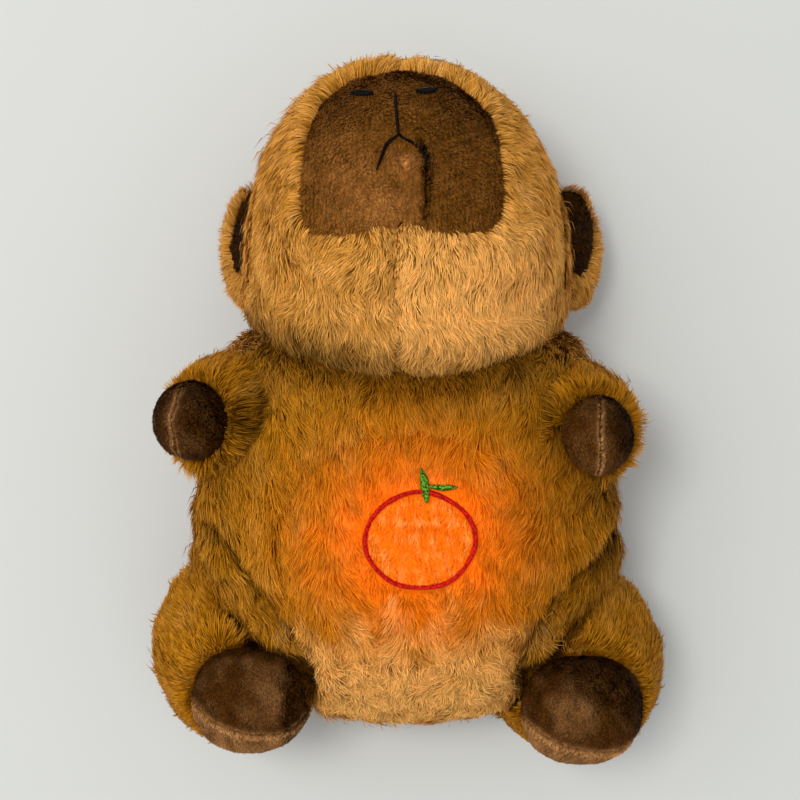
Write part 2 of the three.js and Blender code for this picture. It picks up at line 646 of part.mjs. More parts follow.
function makeSlider() {
  const x = sliderX;
  const side = tooth.width / 2 + seat;
  const flange = side + slider.flange / 2;
  const halfX = slider.length / 2;
  const base = slab(x, zip.y, halfX, flange, sliderLow, sliderHigh);
  const flanges = [-1, 1].map((sign) => slab(x, zip.y + sign * (side + flange) / 2, halfX, slider.flange / 4,
    sliderLow, zip.tapeZ - seat));
  const archLow = sliderLow - slider.arch;
  const reach = slider.arch + slider.foot / 2;
  const halfY = slider.bridge / 2;
  const beam = slab(x, zip.y, reach, halfY, archLow - slider.foot, archLow);
  const feet = [-1, 1].map((sign) => slab(x + sign * (reach - slider.foot / 2), zip.y, slider.foot / 2, halfY,
    archLow - slider.foot / 2, sliderLow + seat));
  add('zip_slider', join(base, ...flanges, beam, ...feet), finish.metal);

  const barZ = sliderLow - slider.arch / 2;
  const low = barZ - pull.thickness / 2;
  const high = barZ + pull.thickness / 2;
  const armIn = slider.bridge / 2 + seat;
  const armOut = armIn + pull.arm;
  const bar = slab(x, zip.y, pull.bar / 2, armOut, low, high);
  const armX = (pull.neck + pull.bar / 2) / 2;
  const arms = [-1, 1].map((sign) => slab(x + armX, zip.y + sign * (armIn + armOut) / 2, armX + pull.bar / 2,
    pull.arm / 2, low, high));
  const tab = block(x + pull.neck, x + pull.length, zip.y - pull.width / 2, zip.y + pull.width / 2,
    low, high);
  add('zip_pull', join(bar, ...arms, tab), finish.metal);
}

// Breathing unit

const bayHalf = cell.pitch * cell.count / 2 + cell.play;
const bayY0 = bay.y - cell.length / 2 - contact.thickness - 2 * seat;
const bayY1 = bay.y + cell.length / 2 + contact.thickness + cell.nubLength + 2 * seat;
const cellZ = unit.low + unit.wall + seat + cell.radius;
const bayTop = cellZ + cell.radius + seat + cell.play;
const coverHalf = bayHalf + cover.margin;
const coverY0 = bayY0 + seat;
const coverY1 = bayY1 + cover.boss * 2;
const screwY = coverY1 - cover.boss;
const buttonYs = [-1, 0, 1].map((i) => board.y + i * button.pitch);

const innerX = unit.width / 2 - unit.wall;
const innerY = unit.length / 2 - unit.wall;
const speakerX = speaker.radius + seat - innerX;
const boardX = innerX - seat - board.width / 2;
const lampX = lamp.inset - innerX;
const screwX = innerX - screw.head - screw.inset;
const screwSpots = [[-screwX, 0], [screwX, 0]];
const postX = innerX - post.insetX;
const postY = innerY - post.insetY;
const postSpots = [[-postX, -postY], [-postX, postY], [postX, -postY], [postX, postY]];

function unitShell(z0, z1) {
  return block(-unit.width / 2, unit.width / 2, -unit.length / 2, unit.length / 2, z0, z1);
}

function unitHollow(z0, z1) {
  return block(-innerX, innerX, -innerY, innerY, z0, z1);
}

function makeHousing() {
  const floorTop = unit.low + unit.wall;
  const shell = cut(unitShell(unit.low, unit.split), unitHollow(floorTop, unit.split + overrun));
  const half = innerX + unit.wall / 2;
  const rib = block(-half, half, bayY1, bayY1 + bay.rib, unit.low + unit.wall / 2, bayTop + bay.roof);
  const roof = block(-half, half, -innerY - unit.wall / 2, bayY1 + bay.rib, bayTop, bayTop + bay.roof);
  const boss = rodZ(0, screwY, cover.boss, unit.low + unit.wall / 2, unit.low + unit.wall + screw.length);
  const door = block(-coverHalf - seat, coverHalf + seat, coverY0 - seat, bayY1 - seat, unit.low - overrun,
    unit.low + unit.wall + overrun);
  const ledge = block(-cover.boss - seat, cover.boss + seat, bayY1 - overrun, coverY1 + seat,
    unit.low - overrun, unit.low + unit.wall);
  const screwTop = floorTop + screw.length + overrun;
  const screwHole = rodZ(0, screwY, screw.shank + seat, unit.low, screwTop, facets.small);
  const grilleHole = (x, y) => rodZ(x, y, speaker.hole, unit.low - overrun, floorTop + overrun / 2,
    facets.thread);
  const grille = [grilleHole(speakerX, speaker.y)];
  for (let i = 0; i < speaker.holes; i += 1) {
    const angle = (2 * Math.PI * i) / speaker.holes;
    grille.push(grilleHole(speakerX + speaker.ring * Math.cos(angle),
      speaker.y + speaker.ring * Math.sin(angle)));
  }
  const holes = buttonYs.map((y) => rodZ(boardX, y, button.radius + seat, unit.low - overrun,
    unit.low + unit.wall + overrun / 2));
  const rackRoom = block(rackX0 - slip, rackX1 + slip, rackY0 - slip, rackY1 + slip, rackLow - slip,
    unit.split + overrun);
  const tray = join(shell, rib, roof, boss);
  add('housing_base', cut(tray, door, ledge, screwHole, rackRoom, ...grille, ...holes), finish.shell);
}

function makeLid() {
  const under = lidTop - unit.wall - overrun;
  const over = lidTop + overrun;
  const lid = cut(unitShell(unit.split + seat, lidTop), unitHollow(unit.split - overrun, lidTop - unit.wall));
  const posts = postSpots.map(([x, y]) => rodZ(x, y, post.radius + slip, under, over, facets.small));
  const slot = block(rackX0 - slip, rackX1 + slip, rackY0 - slip, rackY1 + slip, under, over);
  const window = rodZ(lampX, lamp.y, lamp.rim + seat, under, over, facets.small);
  const seats = screwSpots.map(([x, y]) => rodZ(x, y, screw.shank + seat, under, over, facets.small));
  const sinks = screwSpots.map(([x, y]) => rodZ(x, y, screw.head + seat, lidTop - screw.headHeight - seat,
    over, facets.small));
  add('housing_lid', cut(lid, ...posts, slot, window, ...seats, ...sinks), finish.shell);
}

function screwBody(x, y, z, up) {
  const sign = up ? 1 : -1;
  const z1 = z - sign * screw.headHeight;
  const z2 = z1 - sign * screw.length;
  return join(rodZ(x, y, screw.head, Math.min(z, z1), Math.max(z, z1), facets.small),
    rodZ(x, y, screw.shank, Math.min(z1, z2), Math.max(z1, z2), facets.small));
}

function makeCover() {
  const low = unit.low;
  const high = unit.low + unit.wall - seat;
  const door = block(-coverHalf, coverHalf, coverY0, bayY1 - 2 * seat, low, high);
  const tongue = block(-cover.boss, cover.boss, bayY1 - 2 * overrun, coverY1, low, high);
  const hole = rodZ(0, screwY, screw.shank + seat, low - overrun, high + overrun, facets.small);
  const sink = rodZ(0, screwY, screw.head + seat, low - overrun, low + screw.headHeight, facets.small);
  add('battery_cover', cut(join(door, tongue), hole, sink), finish.shell);
  add('cover_screw', screwBody(0, screwY, low - seat, false), finish.metal);
  screwSpots.forEach(([x, y], i) => {
    add(`lid_screw_${i + 1}`, screwBody(x, y, lidTop - seat / 2, true), finish.metal);
  });
}

function makeCells() {
  for (let i = 0; i < cell.count; i += 1) {
    const x = (i - (cell.count - 1) / 2) * cell.pitch;
    const half = cell.length / 2;
    const tip = half + cell.nubLength;
    const corners = [[0, -half], [cell.radius, -half], [cell.radius, half], [cell.nub, half], [cell.nub, tip],
      [0, tip]];
    const profile = corners.map(([r, l]) => new THREE.Vector2(r, l));
    const body = new THREE.LatheGeometry(profile, facets.round);
    if (i % 2 === 1) body.rotateZ(Math.PI).translate(0, cell.nubLength, 0);
    add(`battery_${i + 1}`, body.translate(x, bay.y, cellZ), finish.cell);
  }
  const low = cellZ - contact.height / 2;
  const high = cellZ + contact.height / 2;
  const reach = bayHalf - seat;
  const front = bayY0 + seat;
  const rear = bayY1 - seat;
  add('contact_front', block(-reach, reach, front, front + contact.thickness, low, high), finish.metal);
  add('contact_rear', block(-reach, reach, rear - contact.thickness, rear, low, high), finish.metal);
}

function makeSpeaker() {
  const low = unit.low + unit.wall + seat;
  const top = low + speaker.height;
  const basket = rodZ(speakerX, speaker.y, speaker.radius, low, low + speaker.height / 3, facets.round);
  const magnet = rodZ(speakerX, speaker.y, speaker.magnet, low + speaker.height / 4, top, facets.round);
  add('speaker', join(basket, magnet), finish.cone);
}

function makeBoard() {
  const top = board.z + board.thickness;
  const sheet = slab(boardX, board.y, board.width / 2, board.length / 2, board.z, top);
  const chips = [-1, 1].map((sign) => block(boardX - board.chip / 2, boardX + board.chip / 2,
    board.y + sign * board.chip - board.chip / 3, board.y + sign * board.chip + board.chip / 3,
    top - board.thickness / 2, top + board.chipHeight));
  const switchLow = unit.low + unit.wall + seat + button.flangeHeight + button.travel + 2 * seat;
  const switches = buttonYs.map((y) => slab(boardX, y, button.click / 2, button.click / 2, switchLow,
    board.z + board.thickness / 2));
  add('circuit_board', join(sheet, ...chips, ...switches), finish.board);
  ['power_button', 'sound_button', 'light_button'].forEach((name, i) => {
    const flangeLow = unit.low + unit.wall + seat;
    const cap = rodZ(boardX, buttonYs[i], button.radius, unit.low - button.proud, flangeLow + seat);
    const rim = Math.min(button.flange, button.pitch / 2 - seat);
    const flange = rodZ(boardX, buttonYs[i], rim, flangeLow, flangeLow + button.flangeHeight);
    add(name, join(cap, flange), finish.knob);
  });
}

// Gears turn about axes along X; the motor drives two pairs, and the last pinion lifts a rack

const pitchRadius = (teeth, size) => teeth * size / 2;
const stageReach = pitchRadius(toothCount.small, gear.fine) + pitchRadius(toothCount.big, gear.fine);
const lastRadius = pitchRadius(toothCount.last, gear.coarse);
const gearY2 = gear.y;
const gearY1 = gearY2 - stageReach;
const motorY = gearY1 - stageReach;
const planeA = 0;
const shaftTip = planeA + gear.face - gear.step - seat;
const planeB = planeA + gear.face + gear.step;
const planeC = planeB + gear.face + gear.step;
const rackX0 = planeC;
const rackX1 = planeC + rack.width;
const rackY0 = gearY2 + lastRadius - toothShares.top * gear.coarse;
const rackY1 = gearY2 + lastRadius + toothShares.root * gear.coarse + rack.depth;
const rackLow = gear.z - belly.lift - rack.below;

function gearShape(teeth, size, toothAt) {
  const radius = pitchRadius(teeth, size);
  const top = radius + toothShares.top * size;
  const root = radius - toothShares.root * size;
  const step = (2 * Math.PI) / teeth;
  const shape = new THREE.Shape();
  for (let i = 0; i < teeth; i += 1) {
    const middle = toothAt + i * step;
    const rootHalf = step * toothShares.rootWidth;
    const topHalf = step * toothShares.topWidth;
    const corners = [[root, -rootHalf], [top, -topHalf], [top, topHalf], [root, rootHalf]];
    corners.forEach(([r, a], k) => {
      const x = r * Math.cos(middle + a);
      const y = r * Math.sin(middle + a);
      if (i === 0 && k === 0) shape.moveTo(x, y);
      else shape.lineTo(x, y);
    });
  }
  shape.closePath();
  return shape;
}

// The angle is measured from +Y towards +Z
function gearWheel(teeth, size, toothAt, y, x0, thickness) {
  const options = { depth: thickness, bevelEnabled: false };
  const wheel = new THREE.ExtrudeGeometry(gearShape(teeth, size, toothAt), options);
  const turn = new THREE.Matrix4().makeBasis(new THREE.Vector3(0, 1, 0), new THREE.Vector3(0, 0, 1),
    new THREE.Vector3(1, 0, 0));
  return solid(wheel.applyMatrix4(turn).translate(x0, y, gear.z));
}

function makeGears() {
  const meshAway = Math.PI / toothCount.big;
  const bore = (y) => rodX(y, gear.z, axle.radius + seat, planeA - overrun, planeC + gear.face + overrun);
  const pinion = join(gearWheel(toothCount.small, gear.fine, 0, motorY, planeA, gear.face),
    rodX(motorY, gear.z, motor.shaft + gear.hub, planeA - gear.step / 2, planeA + gear.face / 2));
  const shaftHole = rodX(motorY, gear.z, motor.shaft + seat, planeA - overrun, shaftTip + seat);
  add('motor_pinion', cut(pinion, shaftHole), finish.brass);
  const hub = rodX(gearY1, gear.z, axle.radius + gear.hub, planeA + gear.face / 2, planeB + gear.face / 2);
  const wheel1 = gearWheel(toothCount.big, gear.fine, meshAway, gearY1, planeA, gear.face);
  const small1 = gearWheel(toothCount.small, gear.fine, 0, gearY1, planeB, gear.face);
  add('reduction_gear_1', cut(join(wheel1, hub, small1), bore(gearY1)), finish.gear);
  const hub2 = rodX(gearY2, gear.z, axle.radius + gear.hub, planeB + gear.face / 2, planeC + gear.face / 2);
  const wheel2 = gearWheel(toothCount.big, gear.fine, meshAway, gearY2, planeB, gear.face);
  const last = gearWheel(toothCount.last, gear.coarse, 0, gearY2, planeC, gear.face);
  add('reduction_gear_2', cut(join(wheel2, hub2, last), bore(gearY2)), finish.gear);
}

function makeGearFrame() {
  const y0 = motorY - frame.margin;
  const y1 = gearY2 + frame.margin / 2;
  const z0 = bayTop + bay.roof + seat;
  const z1 = gear.z + frame.height / 2 - frame.plate;
  const leftX1 = planeA - gear.step;
  const rightX0 = planeC + gear.face + gear.step;
  const left = block(leftX1 - frame.plate, leftX1, y0, y1, z0, z1);
  const right = block(rightX0, rightX0 + frame.plate, gearY1 - frame.margin, y1, z0, z1);
  const bridge = block(leftX1 - frame.plate / 2, rightX0 + frame.plate / 2, motorY - frame.margin,
    gearY1 - frame.margin / 2, z0, z0 + frame.base);
  const outLeft = leftX1 - frame.plate - overrun;
  const outRight = rightX0 + frame.plate + overrun;
  const holes = [gearY1, gearY2].map((y) => rodX(y, gear.z, axle.radius + seat, outLeft, outRight));
  const nose = rodX(motorY, gear.z, motor.nose + seat, leftX1 - frame.plate - overrun, leftX1 + overrun);
  const wheelRoom = rodX(gearY1, gear.z, pitchRadius(toothCount.big, gear.fine) + gear.fine + slip, leftX1,
    planeB);
  add('gear_frame', cut(join(left, right, bridge), ...holes, nose, wheelRoom), finish.metal);
  [gearY1, gearY2].forEach((y, i) => {
    add(`gear_axle_${i + 1}`, rodX(y, gear.z, axle.radius, leftX1 - frame.plate - axle.overhang,
      rightX0 + frame.plate + axle.overhang), finish.metal);
  });
  const front = leftX1 - frame.plate - seat;
  const back = motor.gap - innerX;
  const can = block(back, front, motorY - motor.width / 2, motorY + motor.width / 2,
    gear.z - motor.height / 2, gear.z + motor.height / 2);
  const noseBoss = rodX(motorY, gear.z, motor.nose, front - overrun, front + motor.noseLength);
  const shaft = rodX(motorY, gear.z, motor.shaft, front - overrun, shaftTip);
  const trim = block(back - overrun, front + overrun, motorY + motor.width / 2 - overrun,
    motorY + motor.width, gear.z - motor.height, gear.z + motor.height);
  const notch = rodX(gearY1, gear.z, axle.radius + slip, front - overrun, front + overrun);
  add('motor', cut(join(can, noseBoss, shaft), trim, notch), finish.metal);
}

function makeLiftPlate() {
  const sheet = slab(0, 0, unit.width / 2 - plate.insetX, unit.length / 2 - plate.insetY, plateLow,
    plateHigh);
  const posts = postSpots.map(([x, y]) => rodZ(x, y, post.radius, plateLow - post.length,
    plateHigh - plate.thickness / 2, facets.small));
  const outline = new THREE.Shape();
  const pitch = Math.PI * gear.coarse;
  const pitchLine = gearY2 + lastRadius;
  const rootY = pitchLine + toothShares.root * gear.coarse;
  const count = Math.floor((plateLow - rackLow) / pitch);
  outline.moveTo(rackY1, rackLow);
  outline.lineTo(rackY1, plateLow + plate.thickness / 2);
  outline.lineTo(rootY, plateLow + plate.thickness / 2);
  const start = gear.z + pitch / 2 - pitch * Math.floor((gear.z + pitch / 2 - rackLow) / pitch);
  for (let i = count; i >= 0; i -= 1) {
    const z = start + i * pitch;
    const rootHalf = pitch * toothShares.rootWidth;
    const topHalf = pitch * toothShares.rackTopWidth;
    if (z + rootHalf < plateLow - unit.wall - overrun && z - rootHalf > rackLow) {
      outline.lineTo(rootY, z + rootHalf);
      outline.lineTo(rackY0, z + topHalf);
      outline.lineTo(rackY0, z - topHalf);
      outline.lineTo(rootY, z - rootHalf);
    }
  }
  outline.lineTo(rootY, rackLow);
  outline.closePath();
  const bar = new THREE.ExtrudeGeometry(outline, { depth: rack.width, bevelEnabled: false });
  const turn = new THREE.Matrix4().makeBasis(new THREE.Vector3(0, 1, 0), new THREE.Vector3(0, 0, 1),
    new THREE.Vector3(1, 0, 0));
  const window = rodZ(lampX, lamp.y, glow.radius + seat, plateLow - overrun, plateHigh + overrun);
  const rackBar = solid(bar.applyMatrix4(turn).translate(rackX0, 0, 0));
  add('lift_plate', cut(join(sheet, ...posts, rackBar), window), finish.shell);
  const lens = [[0, glow.thickness / 2], [glow.radius, 0], [glow.radius, glow.thickness],
    [glow.radius * glow.domeShares[0], glow.thickness + glow.dome * glow.domeShares[1]],
    [0, glow.thickness + glow.dome]];
  const lensProfile = lens.map(([r, l]) => new THREE.Vector2(r, l));
  const lensZ = lidTop + seat;
  add('led_diffuser', new THREE.LatheGeometry(lensProfile, facets.round).rotateX(Math.PI / 2)
    .translate(lampX, lamp.y, lensZ), finish.lens);
}

function makeLamp() {
  const boardTop = lidTop - unit.wall - seat;
  const half = lamp.board / 2;
  add('led_board', block(lampX - half, lampX + half, lamp.y - half, lamp.y + half,
    boardTop - lamp.boardThickness, boardTop), finish.board);
  const rimLow = boardTop + seat;
  const profile = [[0, 0], [lamp.rim, 0], [lamp.rim, lamp.rimHeight], [lamp.radius, lamp.rimHeight],
    [lamp.radius * lamp.domeShares[0], unit.wall * lamp.domeShares[1]], [0, unit.wall * lamp.domeShares[2]]]
    .map(([r, l]) => new THREE.Vector2(r, l));
  add('led', new THREE.LatheGeometry(profile, facets.small).rotateX(Math.PI / 2)
    .translate(lampX, lamp.y, rimLow), finish.lens);
}

// Assembly

makeTorso();
const bellyPanel = makeBelly();
makeFruit(bellyPanel);
const facePatch = makeHead();
makeFace(facePatch);
makeEyes(model.getObjectByName('head_skin'));
makeEar('left', -1);
makeEar('right', 1);
makeLimbs();
makeZip();
makeSlider();
makeHousing();
makeLid();
makeCover();
makeCells();
makeSpeaker();
makeBoard();
makeGears();
makeGearFrame();
makeLiftPlate();
makeLamp();

export default model;
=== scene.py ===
# %% [markdown]
# # A plush capybara that breathes
# The toy lies on its back. Its CAD model comes first, as a frame in metres: every soft piece below is made
# in the space that a CAD solid holds, and moves with the same body.

# %% Frame
import json
import math

import bpy
import numpy as np
from mathutils import Matrix, Vector
from mathutils.bvhtree import BVHTree
from mathutils.kdtree import KDTree

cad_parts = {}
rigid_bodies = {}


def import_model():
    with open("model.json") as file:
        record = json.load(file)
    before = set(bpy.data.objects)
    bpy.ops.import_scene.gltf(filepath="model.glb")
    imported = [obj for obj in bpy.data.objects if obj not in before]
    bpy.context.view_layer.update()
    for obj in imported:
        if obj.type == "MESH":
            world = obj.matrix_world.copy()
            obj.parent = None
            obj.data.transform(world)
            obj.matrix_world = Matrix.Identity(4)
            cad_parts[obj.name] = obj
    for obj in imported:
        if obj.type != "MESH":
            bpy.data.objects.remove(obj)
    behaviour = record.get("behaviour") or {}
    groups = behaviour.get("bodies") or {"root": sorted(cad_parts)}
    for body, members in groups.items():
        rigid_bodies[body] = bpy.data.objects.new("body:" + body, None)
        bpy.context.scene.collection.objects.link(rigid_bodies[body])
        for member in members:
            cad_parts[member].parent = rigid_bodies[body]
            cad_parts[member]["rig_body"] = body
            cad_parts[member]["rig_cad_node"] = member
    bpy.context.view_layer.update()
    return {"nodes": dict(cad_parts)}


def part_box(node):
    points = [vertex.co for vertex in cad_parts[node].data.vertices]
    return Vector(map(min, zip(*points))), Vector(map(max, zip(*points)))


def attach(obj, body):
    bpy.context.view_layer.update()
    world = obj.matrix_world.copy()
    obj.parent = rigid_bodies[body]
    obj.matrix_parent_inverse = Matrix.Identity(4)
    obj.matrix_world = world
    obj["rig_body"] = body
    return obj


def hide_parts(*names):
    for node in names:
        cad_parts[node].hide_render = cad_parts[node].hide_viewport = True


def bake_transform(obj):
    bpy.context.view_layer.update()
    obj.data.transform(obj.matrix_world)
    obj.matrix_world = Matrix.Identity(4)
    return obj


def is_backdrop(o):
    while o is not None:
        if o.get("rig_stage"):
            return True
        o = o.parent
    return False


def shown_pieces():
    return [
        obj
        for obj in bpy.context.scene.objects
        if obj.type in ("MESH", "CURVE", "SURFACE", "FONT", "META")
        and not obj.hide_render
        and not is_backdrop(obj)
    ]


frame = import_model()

nodes = frame["nodes"]
mm = 0.001

# %% [markdown]
# The toy was photographed from straight above, so the camera hangs over it and looks down. It comes early,
# because every later choice of size and colour is judged through it.

# %% Camera
scene = bpy.context.scene
camera_height = 700 * mm
camera_x, camera_y = -2.9 * mm, 58.2 * mm
bpy.ops.object.camera_add(location=(camera_x, camera_y, camera_height), rotation=(0, 0, 0))
camera = bpy.context.object
camera.name = "camera"
camera.data.angle = math.radians(30)
camera.data.clip_start = 10 * mm
scene.camera = camera
print("camera over", tuple(round(v, 4) for v in camera.location))

# %% [markdown]
# The table is a pale, nearly white board. Colours are written as they are picked on a screen, so a helper
# turns them into the linear numbers of a shader.

# %% Floor
scene.view_settings.view_transform = "Standard"


def principled(name, colour, roughness, metallic=0.0):
    material = bpy.data.materials.new(name)
    material.use_nodes = True
    shader = material.node_tree.nodes["Principled BSDF"]
    shader.inputs["Base Color"].default_value = (*colour, 1)
    shader.inputs["Roughness"].default_value = roughness
    shader.inputs["Metallic"].default_value = metallic
    return material, material.node_tree, shader


def rgb(red, green, blue):
    """A colour as it is picked on a screen, in the linear numbers that a shader takes."""
    return tuple(c / 12.92 if c <= 0.04045 else ((c + 0.055) / 1.055) ** 2.4
                 for c in (red / 255, green / 255, blue / 255))


floor_size = 30
bpy.ops.mesh.primitive_plane_add(size=floor_size, location=(0, 0, 0))
floor = bpy.context.object
floor.name = "floor"
floor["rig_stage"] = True
floor_material, _, shader = principled("pale_table", rgb(206, 208, 207), 0.75)
shader.inputs["Specular IOR Level"].default_value = 0.15
floor.data.materials.append(floor_material)
print("floor:", [round(v) for v in floor.dimensions[:2]], "m")

# %% [markdown]
# A window high at the left gives the fur its light side and lays a short, soft shadow to the right, and a
# wider, weaker lamp beside it softens both. The world fills the rest, so that no side of the toy is black.

# %% Light
world = bpy.data.worlds.new("room")
scene.world = world
world.use_nodes = True
background = world.node_tree.nodes["Background"]
background.inputs["Color"].default_value = (*rgb(236, 237, 236), 1)
background.inputs["Strength"].default_value = 0.8


def area_lamp(name, place, aim, size, watts, colour):
    bpy.ops.object.light_add(type="AREA", location=place)
    lamp = bpy.context.object
    lamp.name = name
    lamp.data.size = size
    lamp.data.energy = watts
    lamp.data.color = colour
    way = Vector(aim) - Vector(place)
    lamp.rotation_euler = way.to_track_quat("-Z", "Y").to_euler()
    return lamp


area_lamp("window", (-0.45, 0.3, 1.78), (0, 0.05, 0.05), 0.5, 14, (1.0, 0.98, 0.94))
area_lamp("ceiling", (-1.0, 0.3, 1.6), (0, 0.05, 0), 1.2, 5.5, (1.0, 0.98, 0.95))

# %% [markdown]
# Plush is a knitted backing with a pile of fibres. The backing of each piece starts from its CAD solid: the
# loose triangles are merged, a voxel remesh turns them into an even skin, and a smooth modifier takes the
# facets away. Cloth pressure would do the same swelling, but these forms are already swollen, and the pile
# hides the rest, so a remesh is enough and gives the same result on every run.


# %% Copies of CAD nodes
def alone(obj):
    """Makes obj the only selected and the active object, because operators act on all that is selected."""
    bpy.ops.object.select_all(action="DESELECT")
    obj.select_set(True)
    bpy.context.view_layer.objects.active = obj


def apply(obj, kind, **settings):
    alone(obj)
    modifier = obj.modifiers.new(kind.lower(), kind)
    for key, value in settings.items():
        setattr(modifier, key, value)
    bpy.ops.object.modifier_apply(modifier=modifier.name)


def copy_of(node, name):
    """A copy of a CAD node with its loose triangles merged."""
    obj = bpy.data.objects.new(name, nodes[node].data.copy())
    scene.collection.objects.link(obj)
    obj.data.materials.clear()
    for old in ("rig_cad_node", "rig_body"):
        if old in obj:
            del obj[old]
    alone(obj)
    bpy.ops.object.mode_set(mode="EDIT")
    bpy.ops.mesh.select_all(action="SELECT")
    bpy.ops.mesh.remove_doubles(threshold=0.02 * mm)
    bpy.ops.object.mode_set(mode="OBJECT")
    return obj


print("triangles of the torso's skin in the CAD:", len(nodes["torso_skin"].data.polygons))

# %% [markdown]
# A skin is often shaped by moving its points in code. Points come out of a mesh as one array, are moved
# together, and go back in. Triangles come out the same way, for rays that ask what lies under or over a
# place.


# %% Points and triangles
def points_of(obj):
    """The place and the normal of each point."""
    mesh = obj.data
    places = np.empty(len(mesh.vertices) * 3, np.float32)
    normals = np.empty(len(mesh.vertices) * 3, np.float32)
    mesh.vertices.foreach_get("co", places)
    mesh.vertex_normals.foreach_get("vector", normals)
    return places.reshape(-1, 3).astype(float), normals.reshape(-1, 3).astype(float)


def moved_to(obj, places):
    obj.data.vertices.foreach_set("co", places.astype(np.float32).ravel())
    obj.data.update()


def drawn_in(obj, depth):
    """Moves each point inwards along its normal."""
    places, normals = points_of(obj)
    places -= normals * depth
    moved_to(obj, places)


def triangles_of(obj):
    mesh = obj.data
    mesh.calc_loop_triangles()
    corners = np.empty(len(mesh.loop_triangles) * 3, np.int32)
    mesh.loop_triangles.foreach_get("vertices", corners)
    return corners.reshape(-1, 3)


def tree_of(obj):
    places, _ = points_of(obj)
    return BVHTree.FromPolygons(places.tolist(), triangles_of(obj).tolist())


print("points of the torso's skin in the CAD:", len(points_of(nodes["torso_skin"])[0]))

# %% [markdown]
# The nine stuffed pieces are made in one loop. Ears are small, so their skin is remeshed more finely. The
# belly panel is made a little wider than its solid, so that it meets the torso without a gap.


# %% Skins of the stuffed pieces
def skin(node, name, voxel=3.0, smooth=8, depth=1.2):
    obj = copy_of(node, name)
    apply(obj, "REMESH", mode="VOXEL", voxel_size=voxel * mm, adaptivity=0)
    apply(obj, "SMOOTH", factor=0.5, iterations=smooth)
    drawn_in(obj, depth * mm)
    alone(obj)
    bpy.ops.object.shade_smooth()
    return obj


plush = {}
for node, name, body in (
        ("torso_skin", "torso_backing", "torso"), ("belly_panel", "belly_backing", None),
        ("head_skin", "head_backing", "head"),
        ("ear_left", "ear_left_backing", "ear_left"), ("ear_right", "ear_right_backing", "ear_right"),
        ("arm_left", "arm_left_backing", "arm_left"), ("arm_right", "arm_right_backing", "arm_right"),
        ("leg_left", "leg_left_backing", "leg_left"), ("leg_right", "leg_right_backing", "leg_right")):
    voxel, smooth = (2.0, 6) if node.startswith("ear") else (2.6, 10)
    piece = skin(node, name, voxel=voxel, smooth=smooth)
    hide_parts(node)
    if node == "belly_panel":
        wider, longer = 1.05, 1.055
        piece.data.transform(Matrix.Diagonal((wider, longer, 1, 1)))
    plush[node] = piece
    if body:
        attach(piece, body)
    print(name, len(piece.data.polygons), "faces")

# %% [markdown]
# Each skin was smoothed by itself, so its rim sank away from its neighbour's. Where two of them are sewn
# together, their points are lifted to the surface that both would have as one piece.


# %% Joins
def settled(obj, tree, near, reach=7.0):
    """Lifts the points near a rim that smoothing rounded off back to the whole surface over them."""
    places, normals = points_of(obj)
    for i in np.nonzero(near(places) & (normals[:, 2] > 0.05))[0]:
        x, y, z = places[i]
        hit = tree.ray_cast(Vector((x, y, 0.4)), Vector((0, 0, -1)))[0]
        if hit is not None and 0 < hit.z - z < reach * mm:
            places[i, 2] = hit.z
    moved_to(obj, places)


def joined_tree(names, smooth):
    """The surface of a few pieces as if they were sewn into one, for their backings to meet on."""
    copies = [copy_of(name, f"{name}_too") for name in names]
    alone(copies[0])
    for other in copies[1:]:
        other.select_set(True)
    bpy.ops.object.join()
    apply(copies[0], "REMESH", mode="VOXEL", voxel_size=2.0 * mm, adaptivity=0)
    apply(copies[0], "SMOOTH", factor=0.5, iterations=smooth)
    drawn_in(copies[0], 1.2 * mm)
    tree = tree_of(copies[0])
    bpy.data.objects.remove(copies[0])
    return tree


def round_the_panel(places):
    """True near the rim of the belly panel."""
    away = np.linalg.norm(places[:, :2] / mm / [52, 46], axis=1)
    return (away > 0.6) & (away < 1.3) & (places[:, 2] > 60 * mm)


def at_the_hips(places):
    """True where a leg meets the torso, seen from above."""
    x, y, z = places.T / mm
    return (np.abs(x) > 28) & (y < 8) & (z > 48)


whole_tree = joined_tree(("torso_skin", "belly_panel"), 14)
for node in ("torso_skin", "belly_panel"):
    settled(plush[node], whole_tree, round_the_panel)
hip_tree = joined_tree(("torso_skin", "leg_left", "leg_right"), 60)
for node in ("torso_skin", "leg_left", "leg_right"):
    settled(plush[node], hip_tree, at_the_hips, reach=16.0)
print("joins settled on", len(plush), "skins")

# %% [markdown]
# The stuffing fills the hips and the shoulders out, and the soles push the torso down where they stand over
# it.


# %% Swells and dents
def swollen(obj, centre, radius, amount):
    """Fills an obj out round a place, along its normals."""
    places, normals = points_of(obj)
    near = np.exp(-(np.linalg.norm(places / mm - centre, axis=1) / radius) ** 2)
    places += normals * (near * amount * mm)[:, None]
    moved_to(obj, places)


def dented(obj, node, depth=25.0):
    """Presses an obj down round a foot, which lies open from above."""
    low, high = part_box(node)
    middle, half = np.array((low + high) / 2)[:2], np.array((high - low) / 2)[:2]
    bottom = 50 * mm
    places, _ = points_of(obj)
    away = np.linalg.norm((places[:, :2] - middle) / half, axis=1)
    drop = depth * np.interp(away, [1.0, 1.1, 1.26], [1, 0.8, 0]) * (places[:, 2] > bottom)
    places[:, 2] -= np.minimum(drop * mm, np.maximum(places[:, 2] - bottom, 0))
    moved_to(obj, places)


for side in (-1, 1):
    swollen(plush["torso_skin"], centre=(side * 80, -11, 46), radius=15, amount=9)
    swollen(plush["torso_skin"], centre=(side * 69, 86, 42), radius=12, amount=8)
for foot in ("foot_left", "foot_right"):
    dented(plush["torso_skin"], foot)
print("torso:", [round(v / mm) for v in plush["torso_skin"].dimensions], "mm")

# %% [markdown]
# The pile needs a few helpers: a soft random number that is the same for places near each other, turning
# directions about others, and a test that finds the side of a skin that faces open air.


